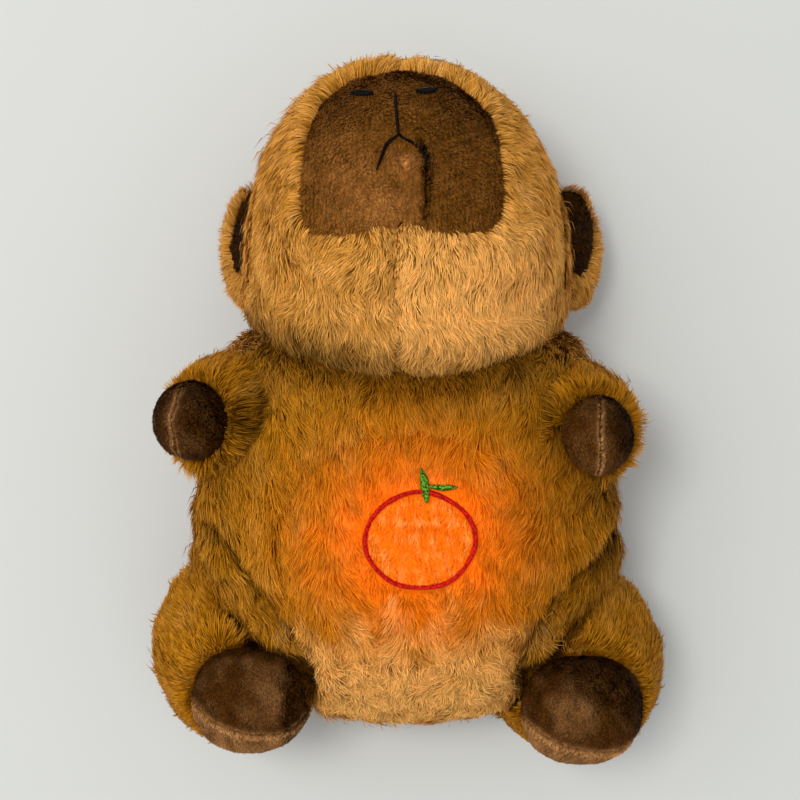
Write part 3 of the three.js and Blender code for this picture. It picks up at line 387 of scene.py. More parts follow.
# %% Helpers for the pile
def smooth_noise(places, size, seed):
    """A soft random number from -1 to 1 for each place, the same for places much nearer than size."""
    rng = np.random.default_rng(seed)
    total = np.zeros(len(places))
    for _ in range(5):
        way = rng.normal(size=3)
        way /= np.linalg.norm(way)
        wave = 2 * math.pi / (size * rng.uniform(0.7, 1.5))
        total += np.sin(places @ way * wave + rng.uniform(0, 2 * math.pi))
    return total / 2.6


def unit(vectors):
    return vectors / np.maximum(np.linalg.norm(vectors, axis=1, keepdims=True), 1e-9)


def turned(vectors, axes, angles):
    """Turns vectors about axes that stand square to them."""
    c, s = np.cos(angles)[:, None], np.sin(angles)[:, None]
    return vectors * c + np.cross(axes, vectors) * s


def middles_of(obj):
    """The middle of each triangle and the way it faces."""
    places, _ = points_of(obj)
    corners = triangles_of(obj)
    a, b, c = (places[corners[:, i]] for i in range(3))
    return (a + b + c) / 3, unit(np.cross(b - a, c - a))


def outside(obj):
    """True for each triangle that faces open air and not the inside of its own wall."""
    middles, ways = middles_of(obj)
    tree = tree_of(obj)
    starts = middles + ways * 0.2 * mm
    return np.array([tree.ray_cast(p, w, 0.2)[0] is None for p, w in zip(starts.tolist(), ways.tolist())])


open_share = outside(plush["belly_panel"]).mean()
print(f"{open_share:.0%} of the belly's skin faces open air")

# %% [markdown]
# A blade is a strip of five points: two at the root, two in the middle and one at the tip. Its two faces
# lie in a cell of their own on the UV map, for its colours to be baked to.


# %% Mesh of the blades
def painted(mesh, along, own, pale=0.0, light=0.0):
    """Writes the four numbers that a pile's material reads, on a blade or on a surface under the pile."""
    look = np.zeros((len(mesh.vertices), 4))
    for channel, value in enumerate((along, own, pale, light)):
        look[:, channel] = value
    colour = mesh.attributes.new("look", "FLOAT_COLOR", "POINT")
    colour.data.foreach_set("color", look.astype(np.float32).ravel())


def blade_mesh(name, points):
    """A quad and a triangle for each five points, with a cell of the UV map for each blade."""
    count = len(points) // 5
    mesh = bpy.data.meshes.new(name)
    mesh.vertices.add(count * 5)
    mesh.vertices.foreach_set("co", points.astype(np.float32).ravel())
    mesh.loops.add(count * 7)
    pattern = np.array([0, 1, 3, 2, 2, 3, 4])
    loops = (np.arange(count)[:, None] * 5 + pattern).ravel()
    mesh.loops.foreach_set("vertex_index", loops.astype(np.int32))
    mesh.polygons.add(count * 2)
    starts = (np.arange(count)[:, None] * 7 + np.array([0, 4])).ravel()
    mesh.polygons.foreach_set("loop_start", starts.astype(np.int32))
    mesh.update(calc_edges=True)

    grid = math.ceil(math.sqrt(count))
    cell = np.stack([np.arange(count) % grid, np.arange(count) // grid], 1)[:, None, :]
    inside = np.array([[0.15, 0.08], [0.85, 0.08], [0.8, 0.5], [0.2, 0.5], [0.2, 0.5], [0.8, 0.5],
                       [0.5, 0.92]])
    chart = mesh.uv_layers.new(name="OFBake")
    chart.data.foreach_set("uv", ((cell + inside) / grid).astype(np.float32).ravel())
    mesh.polygons.foreach_set("use_smooth", np.ones(count * 2, bool))
    return mesh


trial = blade_mesh("trial", np.zeros((10, 3)))
print("two blades have", len(trial.polygons), "faces")
bpy.data.meshes.remove(trial)

# %% [markdown]
# Roots are spread by area: a random triangle for each blade, and a random place on it. Fibres also cling
# together in locks, so every few square millimetres one blade leads, and its neighbours are drawn to it.


# %% Roots and locks
def roots_on(obj, per_mm2, keep, density, rng):
    """Random places on the open side of obj, just under its surface, and the way up from each."""
    places, normals = points_of(obj)
    corners = triangles_of(obj)
    a, b, c = (places[corners[:, i]] for i in range(3))
    area = np.linalg.norm(np.cross(b - a, c - a), axis=1) / 2
    middles, ways = middles_of(obj)
    open_air = outside(obj)
    if keep is not None:
        open_air &= keep(middles, ways)
    if density is not None:
        area = area * density(middles, ways)
    area = np.where(open_air, area, 0)
    count = int(area.sum() / mm ** 2 * per_mm2)
    picked = np.searchsorted(np.cumsum(area), rng.random(count) * area.sum()).clip(0, len(area) - 1)
    u, v = rng.random(count), rng.random(count)
    flip = u + v > 1
    u, v = np.where(flip, 1 - u, u), np.where(flip, 1 - v, v)
    share = np.stack([1 - u - v, u, v], 1)[:, :, None]
    trio = corners[picked]
    root = (places[trio] * share).sum(1)
    up = unit((normals[trio] * share).sum(1))
    return root - up * 0.3 * mm, up


def leaders(root, locks, rng):
    """The blade that leads the lock of each blade."""
    chosen = rng.choice(len(root), locks, replace=False)
    near = KDTree(locks)
    for i, k in enumerate(chosen):
        near.insert(root[k], i)
    near.balance()
    return chosen[np.array([near.find(p)[1] for p in root.tolist()])]


belly_roots, _ = roots_on(plush["belly_panel"], 0.01, None, None, np.random.default_rng(1))
print("one root for each 100 mm2 of the belly:", len(belly_roots))

# %% [markdown]
# The pile is geometry: thousands of tapered blades, each five points and two faces. A particle system would
# be quicker to set up, but it doesn't leave the file as a mesh. Each blade stands on the backing, leans
# over in the direction that the pile is brushed, and is drawn towards the nearest lock, so that gaps and
# tufts show. An attribute keeps what its colour needs: how far along the blade a point is, a number of the
# blade's own, how pale its tip is, and how much of the lamp's light reaches it.


# %% Pile
def blades(name, obj, per_mm2, length, width, comb, seed, lean=(0.3, 0.4, 0.36, 0.9), clump=0.32,
           lock=2.0, keep=None, shape=None, pale=None, glow=None, ruffle=20, stray=10, density=None,
           tone=None, mess=None):
    """Pile on obj. comb(places, normals) gives the way it is brushed, and shape the share of the length."""
    rng = np.random.default_rng(seed)
    root, up = roots_on(obj, per_mm2, keep, density, rng)
    count = len(root)
    way = comb(root, up)
    way = unit(way - up * (way * up).sum(1, keepdims=True))
    angle = np.radians(ruffle) * smooth_noise(root, 26 * mm, seed + 1)
    angle += np.radians(ruffle * 0.7) * smooth_noise(root, 9 * mm, seed + 2)
    angle += np.radians(stray) * rng.normal(size=count)
    if mess is not None:
        angle *= mess(root)
    way = turned(way, up, angle)
    long = length * mm * rng.uniform(0.75, 1.12, count)
    if shape is not None:
        long = long * shape(root, up)
    lift = (1 + 0.18 * smooth_noise(root, 14 * mm, seed + 3) + 0.12 * rng.normal(size=count)).clip(0.5, 1.5)
    lift = np.where(rng.random(count) < 0.04, lift * 1.6, lift)
    middle = root + (up * lean[0] * lift[:, None] + way * lean[1]) * long[:, None]
    tip = root + (up * lean[2] * lift[:, None] + way * lean[3]) * long[:, None]

    lead = leaders(root, max(int(count / (per_mm2 * lock * lock)), 1), rng)
    pull = clump * rng.uniform(0.5, 1.3, count) * (1 + 0.5 * smooth_noise(root, 30 * mm, seed + 4))
    pull = pull.clip(0, 0.85)[:, None]
    tip += (tip[lead] - tip) * pull
    middle += (middle[lead] - middle) * pull * 0.4
    lowest = 0.4 * mm
    middle[:, 2] = np.maximum(middle[:, 2], lowest)
    tip[:, 2] = np.maximum(tip[:, 2], lowest)

    side = np.cross(way, up)
    roll = np.radians(28) * rng.normal(size=count)
    side = side * np.cos(roll)[:, None] + up * np.sin(roll)[:, None]
    half = (width * mm / 2 * rng.uniform(0.75, 1.25, count))[:, None]
    points = np.stack([root - side * half, root + side * half, middle - side * half * 0.85,
                       middle + side * half * 0.85, tip], 1).reshape(-1, 3)
    mesh = blade_mesh(name, points)
    own = rng.random(count)
    if tone is not None:
        own = (own + tone(root)).clip(-0.75, 1.2)
    light = np.zeros(count) if glow is None else glow(root)
    faded = np.zeros(count) if pale is None else pale(root, up)
    along = np.tile([0, 0, 0.45, 0.45, 1], count)
    painted(mesh, along, *(np.repeat(values, 5) for values in (own, faded, light)))

    rise = unit(np.cross(side, tip - root))
    flat = unit(rise * 0.35 + up * 0.65)
    mesh.normals_split_custom_set_from_vertices(np.repeat(flat, 5, axis=0).tolist())
    pile = bpy.data.objects.new(name, mesh)
    scene.collection.objects.link(pile)
    print(name, count, "blades")
    return pile

# %% [markdown]
# A pile's material takes most of its numbers from the blades. The nodes that mix colours and multiply numbers
# come many times, so a helper makes each kind, and another one links a socket or writes a plain value in it.


# %% Nodes of a material
def given(tree, socket, value):
    """Links a socket to another one, or writes a plain value in it."""
    if isinstance(value, bpy.types.NodeSocket):
        tree.links.new(value, socket)
    else:
        socket.default_value = value


def mixed(tree, factor, a, b):
    mix = tree.nodes.new("ShaderNodeMix")
    mix.data_type = "RGBA"
    for name, value in (("Factor", factor), ("A", a), ("B", b)):
        given(tree, mix.inputs[name], value)
    return mix.outputs["Result"]


def product(tree, a, b):
    node = tree.nodes.new("ShaderNodeMath")
    node.operation = "MULTIPLY"
    given(tree, node.inputs[0], a)
    given(tree, node.inputs[1], b)
    return node.outputs[0]


def ranged(tree, value, low, high, clamp=True):
    """From low to high as a value goes from 0 to 1."""
    node = tree.nodes.new("ShaderNodeMapRange")
    node.clamp = clamp
    node.inputs["To Min"].default_value = low
    node.inputs["To Max"].default_value = high
    tree.links.new(value, node.inputs["Value"])
    return node.outputs["Result"]


orange, ember = (*rgb(255, 108, 8), 1), (1.0, 0.13, 0.004, 1)
print("lit fibres in a shader's numbers:", [round(value, 3) for value in orange[:3]])

# %% [markdown]
# The fibres are dark at the root, golden along their length and paler at the tip. Each blade is a little
# lighter or darker than the next, which is what makes a pile look like many fibres. Where the lamp under
# the belly shines through, the colour goes to orange and the fibres give light of their own.


# %% Pile material
def pile_look(name, root, middle, tip, faded, roughness=0.6, sheen=0.25, spread=0.5):
    material, tree, shader = principled(name, middle, roughness)
    look = tree.nodes.new("ShaderNodeAttribute")
    look.attribute_name = "look"
    parts = tree.nodes.new("ShaderNodeSeparateColor")
    given(tree, parts.inputs["Color"], look.outputs["Color"])
    along, own, pale = (parts.outputs[channel] for channel in ("Red", "Green", "Blue"))
    glow = look.outputs["Alpha"]
    ramp = tree.nodes.new("ShaderNodeValToRGB")
    ramp.color_ramp.elements[0].color = (*root, 1)
    ramp.color_ramp.elements[1].color = (*tip, 1)
    ramp.color_ramp.elements.new(0.42).color = (*middle, 1)
    given(tree, ramp.inputs["Fac"], along)
    lit = mixed(tree, product(tree, glow, 0.75), ramp.outputs["Color"], orange)
    fading = product(tree, ranged(tree, along, 0.3, 1), pale)
    value = ranged(tree, own, 1 - spread, 1 + spread, clamp=False)
    vary = tree.nodes.new("ShaderNodeHueSaturation")
    given(tree, vary.inputs["Value"], value)
    given(tree, vary.inputs["Color"], mixed(tree, fading, lit, (*faded, 1)))
    given(tree, shader.inputs["Base Color"], vary.outputs["Color"])
    given(tree, shader.inputs["Emission Color"], mixed(tree, product(tree, glow, value), (0, 0, 0, 1), ember))
    shader.inputs["Emission Strength"].default_value = 0.31
    shader.inputs["Sheen Weight"].default_value = sheen
    shader.inputs["Sheen Roughness"].default_value = 0.5
    shader.inputs["Sheen Tint"].default_value = (*tip, 1)
    shader.inputs["Specular IOR Level"].default_value = 0.08
    shader.inputs["Specular Tint"].default_value = (*tip, 1)
    return material


golden = pile_look("golden_pile", rgb(96, 52, 2), rgb(164, 103, 8), rgb(206, 142, 40), rgb(252, 190, 106),
                   sheen=0.1, spread=0.36)
print("pile material:", golden.name, "with", len(golden.node_tree.nodes), "nodes")

# %% [markdown]
# The places that the pile has to know are written once, seen from above and mostly in millimetres: the
# middle of the muzzle, the ring and its leaves, the creases beside the thighs and across the neck, and the
# chin's seam.

# %% Landmarks
muzzle = np.array([-2.0, 160.0, 128.0]) * mm
fruit_centre = np.array([5.0, 3.0]) * mm
fruit_half = np.array([43.5, 38.4]) / 2 * mm
stem_points = [(7.7, 17.8), (7.0, 24.0), (5.3, 30.8)]
side_points = [(8.4, 24.0), (14.0, 23.6), (19.6, 23.9)]
hip_lines = {"left": [(-80, 10), (-71, -2), (-58, -20), (-44, -38), (-39.5, -51), (-39, -60)],
             "right": [(88, 8), (80, -2), (68, -13), (56.5, -25), (48, -42), (46, -54)]}
neck_line = [(-66, 90), (-45, 81.5), (-15, 73.5), (17, 69.5), (41, 76.3), (62, 85)]
seam_of_the_chin = [(-3.5, 128), (-3.8, 110), (-4.5, 92)]
print("creases:", len(hip_lines) + 1, "and the ring is", [round(2 * v / mm, 1) for v in fruit_half], "mm")

# %% [markdown]
# Whatever depends on a landmark asks how far each place is from it. The answers are shares from 0 to 1, so
# that lengths and tones can be multiplied by them, and they change softly, because fur has no sharp
# borders.


# %% Distances from the landmarks
def in_plan(places):
    """x and y of each place in mm, as the camera sees them."""
    return places[:, 0] / mm, places[:, 1] / mm


def spot(places, middle, half, both_sides=False):
    """1 at a middle in plan, fading out round it; both_sides puts one at the left too."""
    x, y = in_plan(places)
    if both_sides:
        x = np.abs(x)
    return np.exp(-((x - middle[0]) / half[0]) ** 2 - ((y - middle[1]) / half[1]) ** 2)


def line_distance(places, line):
    """How far each place is, in plan, from a line of (x, y) points in mm."""
    flat = places[:, :2] / mm
    away = np.full(len(flat), 1e9)
    for (x0, y0), (x1, y1) in zip(line, line[1:]):
        along = np.array([x1 - x0, y1 - y0])
        share = (((flat - [x0, y0]) @ along) / (along @ along)).clip(0, 1)
        away = np.minimum(away, np.linalg.norm(flat - [x0, y0] - share[:, None] * along, axis=1))
    return away


def in_a_crease(places):
    """1 in the creases beside the thighs and across the neck, 0 a little way off."""
    hips = np.minimum(*(line_distance(places, line) for line in hip_lines.values()))
    neck = line_distance(places, neck_line)
    return np.maximum(0.95 * np.exp(-(hips / 2.6) ** 2), np.exp(-(neck / 8) ** 2)) * (places[:, 2] > 45 * mm)


def on_a_thigh(places):
    """1 on the outer side of the hip creases."""
    x, y = in_plan(places)
    left, right = (np.interp(-y, [-p[1] for p in line], [p[0] for p in line]) for line in hip_lines.values())
    beside = np.clip((left - x) / 4, 0, 1) + np.clip((x - right) / 4, 0, 1)
    return beside * (y < 10)


def in_the_ears(places, normals):
    """1 where an ear shows its dark inside, the lining's plush and the painted shade of the cup round it: a
    leaf shape that ends in a point below.
    """
    x, y = in_plan(places)
    dark = np.zeros(len(places))
    for middle, half in (((-66, 131), (10.5, 19)), ((66.5, 133), (16.5, 21))):
        across, along = np.abs(x - middle[0]) / half[0], (y - middle[1]) / half[1]
        along = np.where(along < 0, np.abs(along), along * 0.9)
        dark = np.maximum(dark, (across ** 1.6 + along ** 1.7 < 1) & (np.abs(x) > 50))
    return dark * (normals[:, 2] > 0.05) * (places[:, 2] < 60 * mm)


def fruit_distance(places):
    """1 on the red ring, less inside it, more outside."""
    return np.linalg.norm((places[:, :2] - fruit_centre) / fruit_half, axis=1)


print("the chin is", line_distance(muzzle[None], seam_of_the_chin).round(1), "mm from the muzzle")

# %% [markdown]
# Each part has its own way of lying. On the torso the pile runs down to the feet, on the head it runs away
# from the muzzle and turns down over the cheeks, and on the limbs it runs from the paws and soles back to
# the body.


# %% Brushing
def down_the_torso(places, normals):
    way = np.zeros_like(places)
    way[:, 0] = -0.25 * places[:, 0] / (60 * mm)
    way[:, 1] = -1
    way[:, 2] = 0.8 * normals[:, 1]
    return way


def from_the_muzzle(places, normals):
    """Away from the muzzle above it, and turning down to the neck over the cheeks."""
    way = unit(places - muzzle)
    turning = np.interp(places[:, 1] / mm, [142, 184], [1, 0])
    turning *= np.interp(places[:, 0] / mm, [-40, 25], [1.6, 0.8])
    way[:, 1] -= turning
    way[:, 2] += 0.6 * normals[:, 1] * turning
    return way


def away_from(end):
    """Out from the middle of a paw, back towards the body."""
    return lambda places, normals: places - end


print("brushed on the belly:", down_the_torso(np.zeros((1, 3)), np.array([[0, 0, 1.0]])))

# %% [markdown]
# The pile is longest at the shoulders and the hips, where it covers the step between two stuffed pieces. It
# is shorter round the muzzle and the embroidery, parted along the chin's seam, and shortest inside the red
# ring.


# %% Length of the pile
def belly_length(places, normals):
    away = fruit_distance(places)
    ramp = np.interp(away, [0, 0.93, 1.05, 1.3, 2.0], [0.3, 0.26, 0.22, 0.55, 1.0])
    for leaf_points in (stem_points, side_points):
        ramp = np.minimum(ramp, np.interp(line_distance(places, leaf_points), [2.5, 6], [0.2, 1]))
    shoulder = np.interp(places[:, 1] / mm, [66, 80], [0, 0.2]) * (np.abs(places[:, 0]) > 42 * mm)
    shoulder += 0.4 * spot(places, (84, -14), (12, 12), both_sides=True)
    low = np.interp(places[:, 1] / mm, [-60, -30], [0.25, 0])
    return np.where(normals[:, 2] > 0.3, ramp - low, 1) + shoulder


def muzzle_length(places, normals):
    x, y = in_plan(places)
    away = np.linalg.norm(places - muzzle, axis=1) / mm
    parted = np.interp(np.abs(x + 3.8), [0.5, 5], [0.4, 1])
    by_the_ears = np.interp(np.abs(x), [54, 62], [1, 0.45])
    parted *= np.where(np.abs(y - 130) < 24, by_the_ears, 1)
    upper_left = np.interp(places[:, 1] - places[:, 0], [0.185, 0.22], [0, 0.6])
    upper_left *= np.interp(y, [152, 168], [0, 1])
    at_the_neck = np.interp(y, [86, 98], [0.4, 0]) * (np.abs(places[:, 0]) > 45 * mm)
    base = np.interp(away, [30, 48, 66], [0.5, 0.7, 1.0]) * np.where(normals[:, 2] > 0.2, parted, 1)
    return base + upper_left + at_the_neck


facing_up = np.array([[0, 0, 1.0]])
print("share of the length inside the ring:", belly_length(np.array([[5, 3, 110]]) * mm, facing_up))

# %% [markdown]
# The belly glows round its lamp, and its colours drift: they are pale low on the belly and streaked inside
# the ring. Painted shade darkens the creases, a fold inside the ring and the right side, away from the
# window, and painted light brightens the shoulders and the fold's crest. A tone is added to each blade's own
# number, and pale says how far its tip has faded.


# %% Glow and tones of the torso
def glow_at(places):
    """The lamp stands a little above the fruit, and its light fades unevenly."""
    away = np.linalg.norm((places[:, :2] / mm - [4, 5.5]) / [35, 31], axis=1)
    uneven = 1 + 0.14 * smooth_noise(places, 16 * mm, 81)
    wide = 0.15 * np.exp(-((away / 1.9) ** 2))
    inside = np.where(fruit_distance(places) < 0.97, 0.92, 1)
    return np.clip(np.exp(-(away ** 2)) * uneven - 0.04 + wide, 0, 1) * inside * (places[:, 2] > 60 * mm)


def lines_and_painted_shade(places):
    """Inside the ring the nap shows as upright lines, with a painted shadow along a fold; outside, the tone
    drifts, is a little darker on the thighs, and painted shade darkens the creases and the right side, away
    from the window.
    """
    drawn = places * [1, 0.16, 0.16]
    inside = fruit_distance(places) < 0.97
    upright = 0.2 * smooth_noise(drawn, 1.4 * mm, 82)
    # Painted shadow along a fold inside the ring.
    fold_shadow = spot(places, (6, 8.5), (8, 1.2))
    drift = 0.16 * smooth_noise(places, 9 * mm, 83) - 0.1 * on_a_thigh(places)
    neck = places[:, 1] > 40 * mm
    # Painted shade in the creases at the hips and across the neck.
    crease = np.maximum(in_a_crease(places), 0.8 * in_a_crease(places + [0, 4.5 * mm, 0]) * neck)
    drift -= crease * np.where(neck, np.interp(places[:, 0] / mm, [-70, -58, 44, 60], [0.1, 0.8, 0.8, 0.1]),
                              np.interp(places[:, 0], [0, 0.01], [0.95, 0.7]))
    # Painted shade on the right side, which turns away from the window.
    drift -= np.interp(places[:, 0] / mm, [28, 62], [0, 0.28])
    return np.where(inside, upright - 0.4 * fold_shadow, drift)


def torso_pale(places, normals):
    """Paler low on the belly, in a few tufts, and in upright streaks inside the ring, with painted light on
    the shoulders and on the crest of the fold in the ring.
    """
    edge = places[:, 1] / mm + 7 * smooth_noise(places, 13 * mm, 87)
    low = np.interp(edge, [-70, -48, -24], [1.0, 0.95, 0]) * np.interp(normals[:, 2], [0, 0.6], [0.4, 1])
    low *= 1 - on_a_thigh(places)
    tufts = np.interp(smooth_noise(places, 5 * mm, 88), [0.3, 1.0], [0, 0.5])
    tufts *= np.interp(edge, [-36, -14], [1, 0.12])
    patches_and_shoulder_light = 0.08 * smooth_noise(places, 17 * mm, 84)
    # Painted light on the shoulders, where the head shades the pile.
    patches_and_shoulder_light += 0.6 * spot(places, (72, 86), (12, 10), both_sides=True)
    streaks = 0.06 + 0.12 * smooth_noise(places * [1, 0.25, 0.25], 1.7 * mm, 89)
    streaks += 0.24 * smooth_noise(places * [1, 0.6, 0.6], 5 * mm, 80)
    # Painted highlight on the crest of the fold inside the ring.
    streaks += 0.32 * spot(places, (6, 10.8), (8, 1.2))
    return np.where(fruit_distance(places) < 0.97, streaks, low + patches_and_shoulder_light + tufts).clip(0, 1)


def belly_mess(places):
    """The pile is tousled low on the belly and beside the neck, and lies more evenly elsewhere."""
    return np.interp(places[:, 1] / mm, [-45, -18, 55, 80], [3.2, 1.2, 1.2, 1.5])


print("glow over the lamp:", glow_at(np.array([[4, 5.5, 110]]) * mm).round(2))

# %% [markdown]
# The throat is pale, most of all to the right of the chin's seam, and painted shade darkens the head where it
# meets the neck. A limb has a painted shadow beside its paw, where it leans against the body, and painted
# shade in its creases and on the toy's right, away from the window.


# %% Tones of the head and the limbs
def head_pale(places, normals):
    """Palest to the right of the chin seam, and a little pale everywhere."""
    x, y = in_plan(places)
    throat = np.interp(y, [70, 84, 116, 140], [0.3, 0.95, 0.75, 0.1])
    throat *= np.interp(x, [-62, -40, -6, -2, 44, 66], [0.05, 0.15, 0.45, 1, 1, 0.3])
    throat *= np.interp(normals[:, 2], [0, 0.6], [0.1, 1])
    tufts = np.interp(smooth_noise(places, 5 * mm, 85), [0.3, 1.0], [0, 0.35])
    return (0.28 + 0.78 * throat + tufts + 0.1 * smooth_noise(places, 15 * mm, 86)).clip(0, 1)


def head_tone(places):
    """Painted shade where the head meets the neck, most of all on the left, and painted light at the far
    left, towards the window.
    """
    # Painted shade in the crease where the head meets the neck.
    crease = in_a_crease(places - [0, 2.5 * mm, 0]) * np.interp(places[:, 0] / mm, [-30, 10], [1, 0.4])
    # Painted light on the far left, the side towards the window.
    left = np.interp(places[:, 0] / mm, [-60, -30], [0.16, 0.04])
    return 0.14 * smooth_noise(places, 8 * mm, 92) - crease + 0.08 + left


def head_mess(places):
    return np.interp(places[:, 1] / mm, [95, 140], [1.6, 1.3])


def limb_tone(places):
    """Painted shadow beside the paws where they lean against the body, and painted shade in the creases and
    on the toy's right, away from the window.
    """
    # Painted shadow where a paw leans against the body.
    beside = spot(places, (-63, 50), (12, 15)) + 0.6 * spot(places, (57, 56), (6, 14))
    drift = 0.12 * smooth_noise(places, 8 * mm, 93)
    # Painted shade in the creases and on the toy's right side.
    return drift - 1.05 * beside - 0.2 * in_a_crease(places) - 0.2 * (places[:, 0] / mm > 30)


print("paleness of the throat:", head_pale(np.array([[10, 100, 120]]) * mm, facing_up).round(2))

# %% [markdown]
# Nothing grows under the threads or under a patch, or deep inside a neighbour. The first two are lines and
# rays from above, and the last is a ray that asks whether it leaves a solid.


# %% Where the pile grows
def not_under_threads(places, normals):
    bare = np.abs(fruit_distance(places) - 1) < 0.055
    for leaf_points in (stem_points, side_points):
        bare |= line_distance(places, leaf_points) < 1.6
    return ~bare | (normals[:, 2] < 0)


def covered(piece, way, reach, rim):
    """True under a piece, except for the last few millimetres under its rim: pile comes out from there."""
    tree, way = tree_of(piece), Vector(way).normalized()
    first = way.orthogonal().normalized()
    round_it = [Matrix.Rotation(k * math.pi / 4, 3, way) @ first * rim * mm for k in range(8)]
    steps = [Vector((0, 0, 0))] + round_it

    def hit(place):
        return tree.ray_cast(place, way, reach * mm)[0] is not None

    def under(middles):
        starts = middles - np.array(way) * reach * mm * 0.35
        return np.array([all(hit(Vector(p) + step) for step in steps) for p in starts.tolist()])
    return under


def clear_of(*others, depth=4.0):
    """Keeps what isn't deep inside a neighbour: a ray that leaves a solid meets its wall from behind."""
    trees = [tree_of(other) for other in others]
    out = Vector((0.36, 0.48, 0.8))

    def keep(middles, ways):
        kept = []
        for place in (middles + ways * 4 * mm).tolist():
            place = Vector(place)
            inside = False
            for tree in trees:
                _, normal, _, _ = tree.ray_cast(place, out)
                if normal is not None and normal.dot(out) > 0:
                    inside = inside or tree.find_nearest(place)[3] > depth * mm
            kept.append(not inside)
        return np.array(kept)
    return keep


under_threads = ~not_under_threads(*middles_of(plush["belly_panel"]))
print("triangles under the threads:", under_threads.sum())

# %% [markdown]
# A seam parts the pile under the chin, and the thighs meet the belly in a crease: both are pressed into the
# skins before the pile is grown, and the cheeks are filled out at the neck. The backings take the colour of
# the roots, because they show between the fibres.


# %% Creases and backings
def pressed(obj, line, depth, half, puff=0.0):
    """Presses a groove under a line of (x, y) points in mm, seen from above, with a swell along its sides."""
    places, normals = points_of(obj)
    away = line_distance(places, line)
    groove = -depth * np.exp(-(away / half) ** 2) + puff * np.exp(-((away - 2.2 * half) / half) ** 2)
    facing = np.clip(normals[:, 2] * 3, 0, 1)
    places += normals * (groove * facing)[:, None] * mm
    moved_to(obj, places)


def backed(obj, material):
    """Gives a backing the look of its pile's roots, lit like the pile, with painted shade in the cup of each
    ear.
    """
    places, normals = points_of(obj)
    own = 0.5 + 0.3 * smooth_noise(places, 6 * mm, 90)
    # Painted shade: the cup of each ear round its lining is made dark.
    own = np.where(in_the_ears(places, normals) > 0.5, -0.62, own)
    painted(obj.data, 0.12, own, light=glow_at(places))
    obj.data.materials.append(material)


pressed(plush["head_skin"], seam_of_the_chin, depth=3.0, half=3.2, puff=1.0)
for side in (-1, 1):
    swollen(plush["head_skin"], centre=(side * 64, 98, 42), radius=18, amount=9)
for hip_line in hip_lines.values():
    pressed(plush["torso_skin"], hip_line, depth=4.0, half=3.4, puff=1.4)
for piece in plush.values():
    backed(piece, golden)
print("backings painted:", len(plush))

# %% [markdown]
# Muzzle, paws, soles and ear linings are short dark plush. The nap of the first three has the pile's own
# kind of material, in darker colours. The linings, and most finishes after them, are one colour with a
# little life in it: a noise on Object coordinates mixes a darker and a lighter tone, and the same noise can
# raise the surface.


# %% Looks of the short plush
def mottled(name, dark, light, scale, roughness, bump=0.0, sheen=0.0, metallic=0.0, detail=4.0, gloss=0.5,
            spread=0.2):
    """A narrow spread of the ramp gives crisp spots, and a wide one gives soft ones."""
    material, tree, shader = principled(name, light, roughness, metallic)
    add = tree.nodes.new
    where = add("ShaderNodeTexCoord")
    noise = add("ShaderNodeTexNoise")
    noise.inputs["Scale"].default_value = scale
    noise.inputs["Detail"].default_value = detail
    ramp = add("ShaderNodeValToRGB")
    ramp.color_ramp.elements[0].position = 0.5 - spread
    ramp.color_ramp.elements[0].color = (*dark, 1)
    ramp.color_ramp.elements[1].position = 0.5 + spread
    ramp.color_ramp.elements[1].color = (*light, 1)
    tree.links.new(where.outputs["Object"], noise.inputs["Vector"])
    tree.links.new(noise.outputs["Fac"], ramp.inputs["Fac"])
    tree.links.new(ramp.outputs["Color"], shader.inputs["Base Color"])
    if bump:
        raised = add("ShaderNodeBump")
        raised.inputs["Distance"].default_value = bump * mm
        tree.links.new(noise.outputs["Fac"], raised.inputs["Height"])
        tree.links.new(raised.outputs["Normal"], shader.inputs["Normal"])
    shader.inputs["Specular IOR Level"].default_value = gloss
    if sheen:
        shader.inputs["Sheen Weight"].default_value = sheen
        shader.inputs["Sheen Roughness"].default_value = 0.4
        shader.inputs["Sheen Tint"].default_value = (*light, 1)
    return material


muzzle_nap = pile_look("muzzle_nap", rgb(82, 46, 12), rgb(118, 72, 22), rgb(148, 95, 34), rgb(212, 142, 76),
                       roughness=0.55, sheen=0.15, spread=0.4)
paw_nap = pile_look("paw_nap", rgb(40, 21, 6), rgb(65, 37, 10), rgb(90, 54, 18), rgb(204, 146, 90),
                    roughness=0.55, sheen=0.08, spread=0.52)
lining_look = mottled("ear_lining_plush", rgb(22, 13, 7), rgb(52, 32, 18), 700, 0.9, bump=0.3, sheen=0.15,
                      gloss=0.1)
print("looks:", [look.name for look in (golden, muzzle_nap, paw_nap, lining_look)])

# %% [markdown]
# Each piece of short plush is remeshed finely, so that seams can be pressed into it. Patch and linings are
# thin, and need the smallest voxels. The snout points up and towards the head's end, and its patch is made
# along it.

# %% Short plush
snout = Vector((0, math.cos(math.radians(65)), math.sin(math.radians(65))))
short = {}
for node, body, depth in (("face_patch", "head", 0.0), ("paw_left", "arm_left", 0.2),
                          ("paw_right", "arm_right", 0.2), ("foot_left", "leg_left", 0.2),
                          ("foot_right", "leg_right", 0.2), ("ear_lining_left", "ear_left", 0.0),
                          ("ear_lining_right", "ear_right", 0.0)):
    thin = node in ("face_patch", "ear_lining_left", "ear_lining_right")
    piece = skin(node, f"{node}_plush", voxel=0.8 if thin else 1.5, smooth=10 if thin else 14, depth=depth)
    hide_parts(node)
    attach(piece, body)
    look = {"face_patch": muzzle_nap}.get(node, lining_look if "lining" in node else paw_nap)
    piece.data.materials.append(look)
    short[node] = piece
    print(node, len(piece.data.polygons), "faces")

# %% [markdown]
# The muzzle's patch is slid to a rounder outline without leaving the head. Its folds are pressed in: one
# from the nose to its lower edge, a shallower one beside it, and a small pinch between them.


